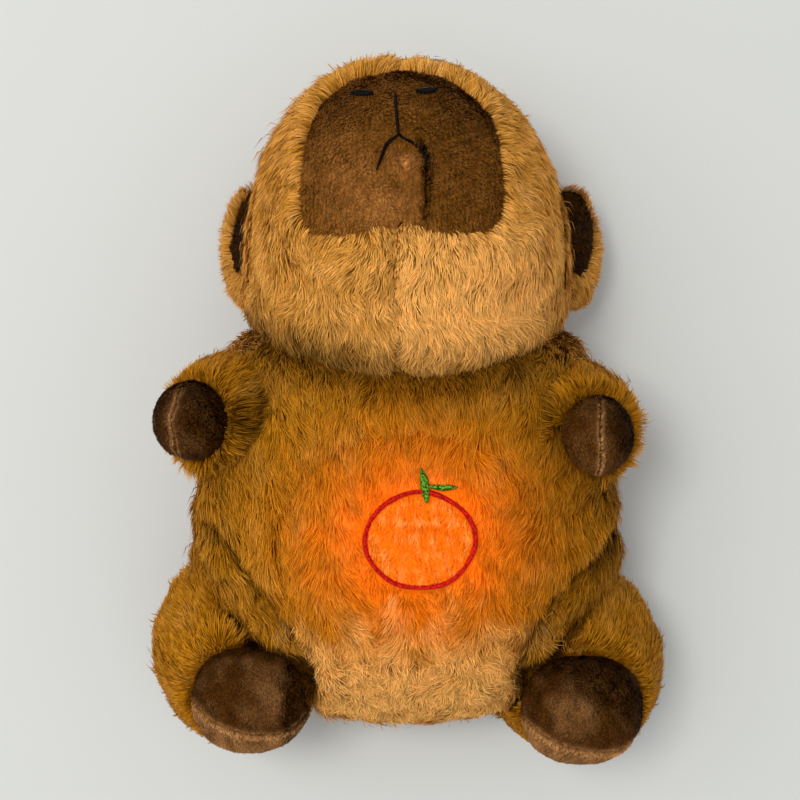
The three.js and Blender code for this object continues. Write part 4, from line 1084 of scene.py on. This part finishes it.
# %% Patch on the muzzle
def slid(obj, tree, way, moved):
    """Moves points sideways over a surface; each keeps its height above it along a way."""
    places, _ = points_of(obj)
    for i, place in enumerate(places):
        old = tree.ray_cast(Vector(place) + way * 60 * mm, -way)[0]
        x, up = moved(place[0] / mm, place[1] / mm)
        start = Vector((x * mm, up * mm, place[2]))
        new = tree.ray_cast(start + way * 60 * mm, -way)[0]
        if old is not None and new is not None:
            places[i] = new + way * (Vector(place) - old).dot(way)
    moved_to(obj, places)


def reshaped(x, y):
    """Rounder above and a little wider and lower below."""
    high, low = max(y - 172, 0) / 20, max(140 - y, 0) / 16
    wider = -1.1 * np.interp(-x, [5, 30], [0, 1]) + 0.6 * np.interp(x, [5, 30], [0, 1]) * (high == 0)
    return x - max(x + 3, 0) * 0.12 * high ** 0.7 + wider, y - 2.6 * high - 2.4 * low


slid(short["face_patch"], tree_of(plush["head_skin"]), snout, reshaped)
fold = [(4.6, 160), (6.6, 151), (6.8, 140), (6.0, 127)]
shallow_fold = [(-2.0, 155), (-2.6, 146), (-2.9, 127)]
pinch = [(-2.5, 149), (0.5, 146), (3.0, 148.5)]
pressed(short["face_patch"], fold, depth=2.0, half=1.0, puff=0.9)
pressed(short["face_patch"], shallow_fold, depth=0.8, half=1.8, puff=0.9)
pressed(short["face_patch"], pinch, depth=1.0, half=1.0, puff=0.6)
print("patch:", [round(v / mm) for v in short["face_patch"].dimensions], "mm")

# %% [markdown]
# Paws and soles lie bare from above, so their outlines count. The soles are filled out to soft ovals, and
# each has the seam of its two halves pressed into it.


# %% Seams of the paws and soles
seams = {"paw_left": [(-89.5, 65), (-93.5, 50), (-91.5, 34)],
         "paw_right": [(76.5, 62), (75.5, 46), (75.8, 30)],
         "foot_left": [(-87.5, -66), (-80, -73), (-72, -76.5), (-64.5, -79), (-54, -79.6), (-46, -77),
                       (-40.5, -71)],
         "foot_right": [(49, -74), (58, -80.5), (66, -84), (76.5, -86.3), (87.6, -87), (97, -81)]}
for node, wide, deep in (("foot_left", 1.02, 1.05), ("foot_right", 1.02, 1.05), ("paw_right", 0.93, 1.0)):
    low, high = short[node].bound_box[0], short[node].bound_box[6]
    middle = Vector(((low[0] + high[0]) / 2, high[1], 0))
    short[node].data.transform(Matrix.Translation(middle) @ Matrix.Diagonal((wide, deep, 1, 1))
                               @ Matrix.Translation(-middle))


def rounded_out(obj, squareness=2.3):
    """Fills the outline of a sole, seen from above, out to a soft oval."""
    places, _ = points_of(obj)
    low, high = places.min(axis=0)[:2], places.max(axis=0)[:2]
    middle, half = (low + high) / 2, (high - low) / 2
    away = (places[:, :2] - middle) / half
    angle, reach = np.arctan2(away[:, 1], away[:, 0]), np.linalg.norm(away, axis=1)
    ways = np.linspace(-math.pi, math.pi, 73)
    off = np.abs((angle - ways[:, None] + math.pi) % (2 * math.pi) - math.pi)
    outline = np.array([reach[row < 0.09].max() for row in off])
    oval = (np.abs(np.cos(ways)) ** squareness + np.abs(np.sin(ways)) ** squareness) ** (-1 / squareness)
    edge = np.interp(angle, ways, outline)
    fuller = np.interp(angle, ways, np.clip(oval / outline, 1, 1.5)) - 1
    moved = away * half * (fuller * (reach / edge) ** 2)[:, None]
    places[:, :2] += moved
    places[:, 2] -= 0.55 * np.linalg.norm(moved, axis=1)
    moved_to(obj, places)


for node in ("foot_left", "foot_right"):
    rounded_out(short[node])
for node, seam in seams.items():
    pressed(short[node], seam, depth=1.6, half=0.7, puff=0.3)
    print(node, [round(v / mm) for v in short[node].dimensions], "mm")

# %% [markdown]
# Nap looks pale where it is rubbed or bends open, which is on the seams and round the pinch of the muzzle.
# Painted light brightens the muzzle left of its fold, towards the window, and a painted sheen lies on each
# sole. Painted shadow darkens it beside the fold, and painted shade where a paw or a sole turns away from the
# window.


# %% Tones of the nap
def pale_and_highlit(node):
    """Where the nap looks pale: round the pinch, along the seams and towards a rim, with painted light on the
    muzzle's left and a painted sheen on each sole.
    """
    def share(places, normals):
        drift = 0.2 * smooth_noise(places, 8 * mm, 95)
        if node == "face_patch":
            bump = spot(places, (-0.5, 149), (4, 4))
            # Painted highlight below the pinch, left of the fold.
            below = spot(places, (-8, 132), (13, 9))
            # Painted light on the patch's left side, towards the window.
            left = spot(places, (-24, 146), (14, 18))
            return (0.85 * bump + 0.5 * below + 0.25 * left + 0.04 + 0.5 * drift).clip(0, 1)
        away = line_distance(places, seams[node])
        ridge = np.exp(-((away - 1.2) / 1.0) ** 2)
        ridge *= np.interp(smooth_noise(places, 3 * mm, 94), [-1, 1], [0.3, 1])
        if node.startswith("paw"):
            ridge *= np.exp(-((away - 0.9) / 0.6) ** 2)
            return (0.9 * ridge + 0.1 * np.exp(-(away / 6) ** 2) + drift * 0.35).clip(0, 1)
        ends = np.array(seams[node])
        x, y = in_plan(places)
        below = y < np.interp(x, ends[:, 0], ends[:, 1])
        middle = ends.mean(axis=0) + [6 if node == "foot_left" else -4, 14]
        # Painted sheen on the middle of the sole.
        glint = spot(places, middle, (9, 12))
        return (0.6 * ridge + 0.5 * below + 0.25 * glint + drift * 0.5).clip(0, 1)
    return share


def shaded(node):
    """Where the nap looks dark: a painted shadow beside the fold on the muzzle, painted shade on its right
    and on the side of a paw or a sole that turns away from the window.
    """
    def share(places):
        x, y = in_plan(places)
        drift = 0.12 * smooth_noise(places, 5 * mm, 96)
        if node == "face_patch":
            # Painted shadow beside the fold.
            beside = np.exp(-((x - np.interp(y, [126, 140, 151, 160], [7, 7.9, 7.8, 5])) / 1.5) ** 2)
            beside *= np.interp(y, [122, 132, 140, 154, 162], [0.2, 0.6, 1, 1, 0])
            right = np.interp(x, [2, 14], [0, 0.34])
            upper = np.interp(y, [150, 180], [0, 0.22])
            stripes = 0.24 * smooth_noise(places * [1, 0.35, 0.35], 1.1 * mm, 97)
            return 0.06 + stripes + drift - 1.2 * beside - right - upper
        ends = np.array(seams[node])
        if node.startswith("paw"):
            over = x - np.interp(-y, -ends[:, 1], ends[:, 0])
            reach = 17 if node == "paw_left" else 13
            lower = np.interp(y - ends[1, 1], [-14, 14], [0.14, -0.16]) * (over > 0)
            across = np.interp(over, [-6, -0.9, 0, 0.9, 4, reach], [0.12, 0.1, -0.3, 0.1, -0.2, -0.6])
            return 0.7 * drift + lower + across + (0.04 if node == "paw_left" else 0.2)
        crest = ends.mean(axis=0) + ([10, 20] if node == "foot_left" else [1, 16])
        behind = np.interp((x - crest[0]) * 0.5 + (y - crest[1]) * 0.8, [-4, 6], [0, -0.5])
        if node == "foot_left":
            behind = np.minimum(behind * 0.4, np.interp(x - crest[0], [-1, 4], [0, -0.5]))
        return 1.3 * drift + 1.2 * behind + 0.16
    return share


sole_places, sole_normals = points_of(short["foot_left"])
print("the left sole is worn by", pale_and_highlit("foot_left")(sole_places, sole_normals).mean().round(2))

# %% [markdown]
# The belly has to rise without a gap, as cloth does. Here its backing and its pile are given to no body:
# their place is only baked into their points.


def rides_torso_and_belly(piece):
    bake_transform(piece)


def is_front(middles, ways):
    return ways[:, 2] > 0.15


limbs = [plush[n] for n in ("arm_left", "arm_right", "leg_left", "leg_right")]
clear = clear_of(plush["head_skin"], nodes["head_stuffing"], *limbs)
piles = []
kept = clear(*middles_of(plush["torso_skin"]))
torso_pieces = [blades("torso_pile_back", plush["torso_skin"], per_mm2=1.15, length=9.0, width=0.6,
                       comb=down_the_torso, seed=12, keep=lambda p, n: ~is_front(p, n) & kept,
                       pale=torso_pale)]
for seed, part, low, high in ((14, "chest", 30, 200), (15, "sides", -22, 30), (16, "hem", -200, -22)):
    torso_pieces.append(blades(
        f"torso_pile_{part}", plush["torso_skin"], per_mm2=2.8, length=9.5, width=0.38,
        comb=down_the_torso, seed=seed,
        keep=lambda p, n: is_front(p, n) & kept & (p[:, 1] >= low * mm) & (p[:, 1] < high * mm),
        shape=belly_length, pale=torso_pale, glow=glow_at, tone=lines_and_painted_shade, mess=belly_mess))
belly_pile = blades("belly_pile", plush["belly_panel"], per_mm2=3.0, length=9.5, width=0.38,
                    comb=down_the_torso, seed=13,
                    keep=lambda p, n: (n[:, 2] > 0.3) & not_under_threads(p, n), shape=belly_length,
                    pale=torso_pale, glow=glow_at, tone=lines_and_painted_shade, mess=belly_mess,
                    density=lambda p, n: np.interp(fruit_distance(p), [0.9, 1.3], [2.2, 1.0]))
rides_torso_and_belly(plush["belly_panel"])
rides_torso_and_belly(belly_pile)
for piece in torso_pieces:
    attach(piece, "torso")
piles += [*torso_pieces, belly_pile]

# %% [markdown]
# The head's pile parts at a seam under the chin. The patch of dark plush on the muzzle covers part of the
# backing, so nothing grows there. The crown side faces away from the camera, so its blades are wider and
# fewer.

# %% Pile of the head
under_the_patch = covered(short["face_patch"], snout, reach=40, rim=1.2)
head_clear = clear_of(plush["torso_skin"], nodes["torso_stuffing"], plush["ear_left"], plush["ear_right"])
throat = blades("head_pile_throat", plush["head_skin"], per_mm2=2.8, length=9.0, width=0.38,
                comb=from_the_muzzle, seed=21,
                keep=lambda p, n: (n[:, 2] > 0.1) & ~under_the_patch(p) & head_clear(p, n),
                shape=muzzle_length, pale=head_pale, tone=head_tone, mess=head_mess)
crown = blades("head_pile_crown", plush["head_skin"], per_mm2=1.2, length=9.0, width=0.6,
               comb=from_the_muzzle, seed=22,
               keep=lambda p, n: (n[:, 2] <= 0.1) & ~under_the_patch(p) & head_clear(p, n),
               shape=muzzle_length, pale=head_pale, tone=head_tone)
for piece in (throat, crown):
    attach(piece, "head")
piles += [throat, crown]
print("the head's pile parts at x =", seam_of_the_chin[0][0], "mm")

# %% [markdown]
# An ear's pile runs out to its rim, and leaves the dark inside free.

# %% Pile of the ears
head_only = clear_of(plush["head_skin"], nodes["head_stuffing"])
for side, sign in (("left", -1), ("right", 1)):
    low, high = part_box(f"ear_{side}")
    middle = np.array((low + high) / 2)

    def to_the_rim(places, normals, middle=middle, sign=sign):
        way = places - middle
        way[:, 0] += sign * 12 * mm
        return way
    pile = blades(f"ear_{side}_pile", plush[f"ear_{side}"], per_mm2=3.4, length=6.5, width=0.36,
                  comb=to_the_rim, seed=30 + sign,
                  keep=lambda p, n: (in_the_ears(p, n) < 0.5) & head_only(p, n), stray=18,
                  pale=lambda p, n: 0.45 + 0.2 * smooth_noise(p, 6 * mm, 98))
    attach(pile, f"ear_{side}")
    piles.append(pile)
print("piles so far:", len(piles))

# %% [markdown]
# A limb's pile is short round its paw or sole, which stays bare, and longest at the hip. Below a sole it is
# cut shorter still, so that the sole's edge shows. Above it, towards the belly, it stays long and closes the
# gap.

# %% Pile of the limbs
torso_only = clear_of(plush["torso_skin"], nodes["torso_stuffing"])
for limb, end, axis, seed in (("arm_left", "paw_left", (-26, -2, 38), 41),
                              ("arm_right", "paw_right", (15, -6, 44), 42),
                              ("leg_left", "foot_left", (8, -20, 46), 43),
                              ("leg_right", "foot_right", (2, -19, 46), 44)):
    low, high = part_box(end)
    way = away_from(np.array((low + high) / 2))
    under_the_end = covered(short[end], axis, reach=60, rim=2.2)
    bare = {"foot_left": (-110, -15), "foot_right": (-165, -40)}.get(end, (0, 0))

    def short_at_the_end(places, normals, middle=np.array((low + high) / 2), half=max(high - low) / 2):
        away = places - middle
        near, far = (0.7, 1.15) if end.startswith("paw") else (0.42, 1.0)
        share = np.interp(np.linalg.norm(away, axis=1) - half, [0, 14 * mm], [near, far])
        angle = np.degrees(np.arctan2(away[:, 1], away[:, 0]))
        full = {"paw_left": (-100, 20), "paw_right": (-90, 60)}.get(end, (0, 0))
        share = np.where((angle > full[0]) & (angle < full[1]), share * 1.35, share)
        beside = {"foot_left": (20, 120), "foot_right": (60, 160)}.get(end, (0, 0))
        share = np.where((angle > beside[0]) & (angle < beside[1]), np.maximum(share, 0.9), share)
        hip = 0.5 * spot(places, (88, -14), (12, 14), both_sides=True)
        return np.where((angle > bare[0]) & (angle < bare[1]), share * 0.4, share) + hip
    pile = blades(f"{limb}_pile", plush[limb], per_mm2=2.5, length=8.5, width=0.4, comb=way, seed=seed,
                  shape=short_at_the_end,
                  keep=lambda p, n: ~under_the_end(p) & torso_only(p, n), tone=limb_tone,
                  pale=lambda p, n: 0.1 * smooth_noise(p, 12 * mm, 99))
    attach(pile, limb)
    piles.append(pile)
for pile in piles:
    pile.data.materials.append(golden)
print("pieces of long pile:", len(piles))

# %% [markdown]
# The nap of the short plush is dense and fine. It leans every way, so that the light plays on it. The dark
# inside of each ear has it too, on the lining and, as painted shade, on the part of the ear's own backing
# round it.

# %% Nap
nap_pieces = []
nap_lie = {"width": 0.3, "comb": down_the_torso, "lean": (0.4, 0.3, 0.55, 0.75), "clump": 0.4, "lock": 1.3,
           "ruffle": 30, "stray": 22}
for node, body, per_mm2, long in (("face_patch", "head", 8, 2.0), ("paw_left", "arm_left", 9, 1.5),
                                  ("paw_right", "arm_right", 9, 1.5), ("foot_left", "leg_left", 8, 1.5),
                                  ("foot_right", "leg_right", 8, 1.5)):
    if node == "face_patch":
        def shown(middles, ways):
            return ways @ np.array(snout) > 0.15
    else:
        shown = clear_of(nodes[body], depth=-1)
    places, normals = points_of(short[node])
    painted(short[node].data, 0.3, 0.2 + 0.2 * smooth_noise(places, 1.3 * mm, 91) + shaded(node)(places),
            pale_and_highlit(node)(places, normals))
    nap = blades(f"{node}_nap", short[node], per_mm2, long, keep=shown, seed=60 + len(nap_pieces),
                 pale=pale_and_highlit(node), tone=shaded(node), **nap_lie)
    nap.data.materials.append(muzzle_nap if node == "face_patch" else paw_nap)
    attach(nap, body)
    nap_pieces.append(nap)
for side in ("left", "right"):
    # On the lining the dark nap is the lining's own; on the ear's backing round it, it is painted shade in
    # the cup.
    for under, shown in ((short[f"ear_lining_{side}"], lambda p, n: n[:, 2] > -0.2),
                         (plush[f"ear_{side}"], lambda p, n: in_the_ears(p, n) > 0.5)):
        nap = blades(f"ear_nap_{side}_{len(nap_pieces)}", under, per_mm2=6, length=1.8, keep=shown,
                     seed=60 + len(nap_pieces), tone=lambda p: 0.2 * smooth_noise(p, 5 * mm, 79) - 0.4,
                     **nap_lie)
        nap.data.materials.append(paw_nap)
        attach(nap, f"ear_{side}")
        nap_pieces.append(nap)
print("pieces of nap:", len(nap_pieces))

# %% [markdown]
# Embroidery follows the form of the plush. Its lines are drawn in plan through a few points, and dropped on
# the plush along a ray.


# %% Lines for the stitches
def dropped(tree, point, way):
    start = Vector(point) - Vector(way) * 200 * mm
    place, normal, _, _ = tree.ray_cast(start, Vector(way))
    return place, normal


def drawn_line(points, steps):
    """A smooth line through a few points, at even steps."""
    points = [np.array(p, float) for p in points]
    ends = [2 * points[0] - points[1]] + points + [2 * points[-1] - points[-2]]
    line = []
    for i in range(len(points) - 1):
        p0, p1, p2, p3 = ends[i:i + 4]
        for t in np.linspace(0, 1, steps, endpoint=False):
            line.append(0.5 * (2 * p1 + (p2 - p0) * t + (2 * p0 - 5 * p1 + 4 * p2 - p3) * t * t
                               + (3 * p1 - p0 - 3 * p2 + p3) * t ** 3))
    line.append(points[-1])
    return np.array(line)


print("points on the leaf's line:", len(drawn_line([(x, y, 0) for x, y in stem_points], 8)))

# %% [markdown]
# Satin stitch is short threads laid side by side across a band, each arched over the ones below. A curve
# with a bevel would give a smooth cord, which has no threads, so each thread is a small tube of its own.


# %% Satin stitch
def satin(name, line, tree, way, half_at, pitch, thread, lift, slant, material, closed=False, seed=1):
    """Threads across a line of points, each a small tube of four rings and five sides."""
    rng = np.random.default_rng(seed)
    line = np.array(line)
    if closed:
        line = np.vstack([line, line[:1]])
    lengths = np.concatenate([[0], np.cumsum(np.linalg.norm(np.diff(line, axis=0), axis=1))])
    count = max(int(lengths[-1] / pitch), 3)
    points, faces = [], []
    for i in range(count):
        share = (i + 0.5) / count
        centre, ahead = (np.array([np.interp(min(max(s, 0), 1) * lengths[-1], lengths, line[:, k])
                                   for k in range(3)]) for s in (share, share + 0.02))
        behind = np.array([np.interp(max(share - 0.02, 0) * lengths[-1], lengths, line[:, k])
                           for k in range(3)])
        along = unit((ahead - behind)[None])[0]
        _, up = dropped(tree, centre, way)
        up = np.array(up)
        across = unit(np.cross(along, up)[None])[0]
        half = half_at(share) * rng.uniform(0.93, 1.05)
        turn = slant + rng.normal() * 0.05
        reach = across * math.cos(turn) + along * math.sin(turn)
        base = len(points)
        rings = np.linspace(-1, 1, 6)
        for r in rings:
            place, _ = dropped(tree, centre + reach * half * r, way)
            arch = lift * (1 - 0.75 * r * r)
            thick = thread * (0.45 if abs(r) == 1 else 1)
            for k in range(5):
                angle = 2 * math.pi * k / 5
                points.append(np.array(place) + up * (arch + thick * math.sin(angle))
                              + np.cross(reach, up) * thick * math.cos(angle))
        for r in range(len(rings) - 1):
            for k in range(5):
                a, b = base + r * 5 + k, base + r * 5 + (k + 1) % 5
                faces.append((a, b, b + 5, a + 5))
        faces.append(tuple(base + k for k in reversed(range(5))))
        faces.append(tuple(base + (len(rings) - 1) * 5 + k for k in range(5)))
    mesh = bpy.data.meshes.new(name)
    mesh.from_pydata([tuple(p) for p in points], [], faces)
    obj = bpy.data.objects.new(name, mesh)
    scene.collection.objects.link(obj)
    alone(obj)
    bpy.ops.object.mode_set(mode="EDIT")
    bpy.ops.mesh.select_all(action="SELECT")
    bpy.ops.mesh.normals_make_consistent(inside=False)
    bpy.ops.object.mode_set(mode="OBJECT")
    bpy.ops.object.shade_smooth()
    mesh.materials.append(material)
    print(name, count, "stitches")
    return obj


red = mottled("red_thread", rgb(150, 2, 8), rgb(230, 24, 16), 900, 0.5, bump=0.08, gloss=0.15, spread=0.12)
green = mottled("green_thread", rgb(12, 58, 8), rgb(112, 176, 40), 1100, 0.5, bump=0.08, gloss=0.2,
                spread=0.08)
black = mottled("black_thread", rgb(2, 2, 3), rgb(10, 9, 10), 1500, 0.5, bump=0.08, gloss=0.12)
print("threads:", [material.name for material in (red, green, black)])

# %% [markdown]
# The red ring lies on the belly, with a green leaf across its top and a smaller one at its side. They
# follow the form of the belly's plush.

# %% Fruit on the belly
down = (0, 0, -1)
belly_tree = tree_of(plush["belly_panel"])


def on_belly(points):
    return [tuple(dropped(belly_tree, (x * mm, y * mm, 0.3), down)[0]) for x, y in points]


ring_line = on_belly([((21.5 + 0.3 * math.sin(4 * a + 1)) * math.cos(a) + 5,
                       (18.9 + 0.3 * math.sin(5 * a)) * math.sin(a) + 2.8)
                      for a in np.linspace(0, 2 * math.pi, 90, endpoint=False)])
ring = satin("fruit_ring_stitches", ring_line, belly_tree, down,
             lambda s: (1.35 + 0.12 * math.sin(40 * s)) * mm, pitch=0.7 * mm, thread=0.34 * mm,
             lift=2.1 * mm, slant=0.75, material=red, closed=True, seed=5)
stem_line = on_belly(drawn_line([(x, y, 0) for x, y in stem_points], 8)[:, :2])
stem = satin("leaf_stem_stitches", stem_line, belly_tree, down,
             lambda s: (0.5 + 1.8 * math.sin(math.pi * s) ** 0.7) * mm, pitch=0.6 * mm, thread=0.38 * mm,
             lift=3.4 * mm, slant=0.5, material=green, seed=6)
side_line = on_belly(drawn_line([(x, y, 0) for x, y in side_points], 8)[:, :2])
side_leaf = satin("leaf_side_stitches", side_line, belly_tree, down,
                  lambda s: (0.35 + 1.4 * math.sin(math.pi * s) ** 0.7) * mm, pitch=0.6 * mm,
                  thread=0.36 * mm, lift=3.0 * mm, slant=0.6, material=green, seed=7)
for piece, node, thread_slot in ((ring, "fruit_outline", "red_thread"), (stem, "leaf_stem", "green_thread"),
                                 (side_leaf, "leaf_side", "green_thread")):
    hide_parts(node)
    rides_torso_and_belly(piece)
    print(piece.name, "bends with the belly")

# %% [markdown]
# Nose and mouth are black stitches on the muzzle. They are set out in the head's own frame, where the snout
# points along Y, and dropped on the plush along the snout.

# %% Nose and mouth
head_place = Matrix.Translation((0, 127 * mm, 68 * mm)) @ Matrix.Rotation(math.radians(65), 4, "X")
patch_tree = tree_of(short["face_patch"])


def on_face(points):
    places = [head_place @ Vector(((-2 + x) * mm, 0, (-7 - up) * mm)) for x, up in points]
    return [tuple(dropped(patch_tree, p, -snout)[0]) for p in places]


def face_stitches(name, points, half, seed, slant=0.2, taper=0.3):
    line = on_face(drawn_line([(x, y, 0) for x, y in points], 8)[:, :2])
    return satin(name, line, patch_tree, -snout,
                 lambda s: half * mm * max(0.3, math.sin(math.pi * s) ** taper), pitch=0.5 * mm,
                 thread=0.28 * mm, lift=2.1 * mm, slant=slant, material=black, seed=seed)


for side, sign in (("left", -1), ("right", 1)):
    nostril = face_stitches(f"nostril_{side}_stitches",
                            [(-2.9 + sign * x, y) for x, y in ((16.6, 23.7), (12.4, 22.6), (8.2, 21.6))],
                            1.75, seed=10 + sign, taper=0.7)
    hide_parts(f"nostril_{side}")
    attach(nostril, "head")
strokes = [face_stitches("mouth_a", [(-2.7, 20.5), (-2.2, 9), (-1.3, -2)], 0.75, 20, slant=0.5),
           face_stitches("mouth_b", [(-1.3, -1.7), (-6.1, -6.7), (-9.8, -16.6)], 0.8, 21, slant=0.5),
           face_stitches("mouth_c", [(-1.3, -1.7), (3.3, -4.6), (7.0, -9.4), (8.2, -15.5)], 0.65, 22,
                         slant=0.5)]
bpy.ops.object.select_all(action="DESELECT")
for stroke in strokes:
    stroke.select_set(True)
bpy.context.view_layer.objects.active = strokes[0]
bpy.ops.object.join()
mouth = bpy.context.object
mouth.name = "mouth_stitches"
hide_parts("mouth_stitch")
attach(mouth, "head")
print("mouth:", [round(v / mm) for v in mouth.dimensions], "mm")

# %% [markdown]
# The eyes, closed and sleepy, are on the crown side, which this camera doesn't see. Each is one curved
# line.

# %% Eyes
crown_way = (head_place.to_3x3() @ Vector((0, 0, 1))).normalized()
head_tree = tree_of(plush["head_skin"])
for side, sign in (("left", -1), ("right", 1)):
    line = []
    for along in np.linspace(-5.5, 5.5, 12):
        start = head_place @ Vector((sign * (35 + along) * mm, (24 - abs(along) * 0.2) * mm, 0))
        line.append(tuple(dropped(head_tree, start, crown_way)[0]))
    eye = satin(f"eye_{side}_stitches", line, head_tree, crown_way, lambda s: 1.2 * mm, pitch=0.55 * mm,
                thread=0.4 * mm, lift=4.5 * mm, slant=0.2, material=black, seed=30 + sign)
    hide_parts(f"eye_{side}")
    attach(eye, "head")
    print(eye.name, "faces", [round(v, 2) for v in crown_way])

# %% [markdown]
# The filling is carded fibre. It stays inside, but each wad is made soft and lumpy like the rest.

# %% Filling
wadding = mottled("carded_filling", rgb(206, 201, 190), rgb(240, 237, 228), 160, 1.0, bump=1.0)
lumps = 0.5 * mm
for node, body in (("torso_stuffing", "torso"), ("head_stuffing", "head"), ("belly_pad", "belly")):
    wad = skin(node, f"{node}_wad", voxel=3.5, smooth=6, depth=1.0)
    if node == "torso_stuffing":
        for foot in ("foot_left", "foot_right"):
            dented(wad, foot)
    places, normals = points_of(wad)
    places += normals * (lumps * (smooth_noise(places, 12 * mm, 70) - 1))[:, None]
    moved_to(wad, places)
    wad.data.materials.append(wadding)
    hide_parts(node)
    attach(wad, body)
    print(wad.name, len(wad.data.polygons), "faces")

# %% [markdown]
# The unit inside and the closure keep their CAD shapes, because moulded and stamped pieces are what CAD
# draws best. They get the finish of each: grained plastic, plated steel, brass, solder mask, woven
# tape.

# %% Finishes of the hard pieces
shell = mottled("grained_white_plastic", rgb(214, 214, 208), rgb(234, 234, 229), 2200, 0.45, bump=0.04)
knob = mottled("orange_button_plastic", rgb(200, 98, 30), rgb(222, 122, 48), 2000, 0.4, bump=0.03)
acetal = mottled("pale_gear_plastic", rgb(226, 221, 205), rgb(243, 240, 228), 1200, 0.38, bump=0.03)
steel = mottled("zinc_plated_steel", rgb(150, 153, 158), rgb(198, 200, 204), 900, 0.32, metallic=1.0)
brass = mottled("zip_brass", rgb(168, 128, 52), rgb(212, 172, 88), 900, 0.3, metallic=1.0)
jacket = mottled("plain_cell_jacket", rgb(42, 74, 110), rgb(62, 102, 146), 700, 0.3)
mask = mottled("solder_mask_green", rgb(16, 78, 40), rgb(36, 118, 66), 1600, 0.35, bump=0.05)
cone = mottled("speaker_black", rgb(24, 24, 26), rgb(50, 50, 54), 1500, 0.6, bump=0.1)
lens = mottled("milky_lens", rgb(250, 226, 190), rgb(255, 240, 216), 300, 0.35)
lens_shader = lens.node_tree.nodes["Principled BSDF"]
lens_shader.inputs["Emission Color"].default_value = (1.0, 0.5, 0.16, 1)
lens_shader.inputs["Emission Strength"].default_value = 0.6
print("the lens glows at", round(lens_shader.inputs["Emission Strength"].default_value, 1))

# %% [markdown]
# The closure's tape is woven. Two waves that cross stand for its threads, in colour and in height. Each
# finish then goes to the nodes that the real toy has in that material.


# %% Woven tape and finished nodes
def woven(name, dark, light, threads_per_mm):
    """Two crossed sets of waves stand for the threads of a tape."""
    material, tree, shader = principled(name, light, 0.85)
    add, link = tree.nodes.new, tree.links.new
    where = add("ShaderNodeTexCoord")
    heights = []
    for direction in ("X", "Y"):
        wave = add("ShaderNodeTexWave")
        wave.bands_direction = direction
        wave.inputs["Scale"].default_value = threads_per_mm / mm / (2 * math.pi)
        link(where.outputs["Object"], wave.inputs["Vector"])
        heights.append(wave.outputs["Fac"])
    both = product(tree, *heights)
    link(mixed(tree, both, (*dark, 1), (*light, 1)), shader.inputs["Base Color"])
    raised = add("ShaderNodeBump")
    raised.inputs["Distance"].default_value = 0.15 * mm
    link(both, raised.inputs["Height"])
    link(raised.outputs["Normal"], shader.inputs["Normal"])
    return material


tape = woven("woven_tape", rgb(92, 56, 20), rgb(150, 98, 42), 1.6)
finishes = {
    shell: ("housing_base", "housing_lid", "battery_cover", "lift_plate"),
    knob: ("power_button", "sound_button", "light_button"),
    acetal: ("reduction_gear_1", "reduction_gear_2"),
    steel: ("cover_screw", "lid_screw_1", "lid_screw_2", "contact_front", "contact_rear", "gear_frame",
            "gear_axle_1", "gear_axle_2", "motor", "zip_slider", "zip_pull"),
    brass: ("zip_teeth", "motor_pinion"),
    jacket: ("battery_1", "battery_2", "battery_3"),
    mask: ("circuit_board", "led_board"),
    cone: ("speaker",),
    lens: ("led_diffuser", "led"),
    tape: ("zip_tape",),
}
for material, names in finishes.items():
    for name in names:
        nodes[name].data.materials.clear()
        nodes[name].data.materials.append(material)
print("finished nodes:", sum(len(names) for names in finishes.values()))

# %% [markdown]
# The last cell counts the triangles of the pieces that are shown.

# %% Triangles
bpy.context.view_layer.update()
triangles = sum(len(triangles_of(o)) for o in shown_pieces() if o.type == "MESH")
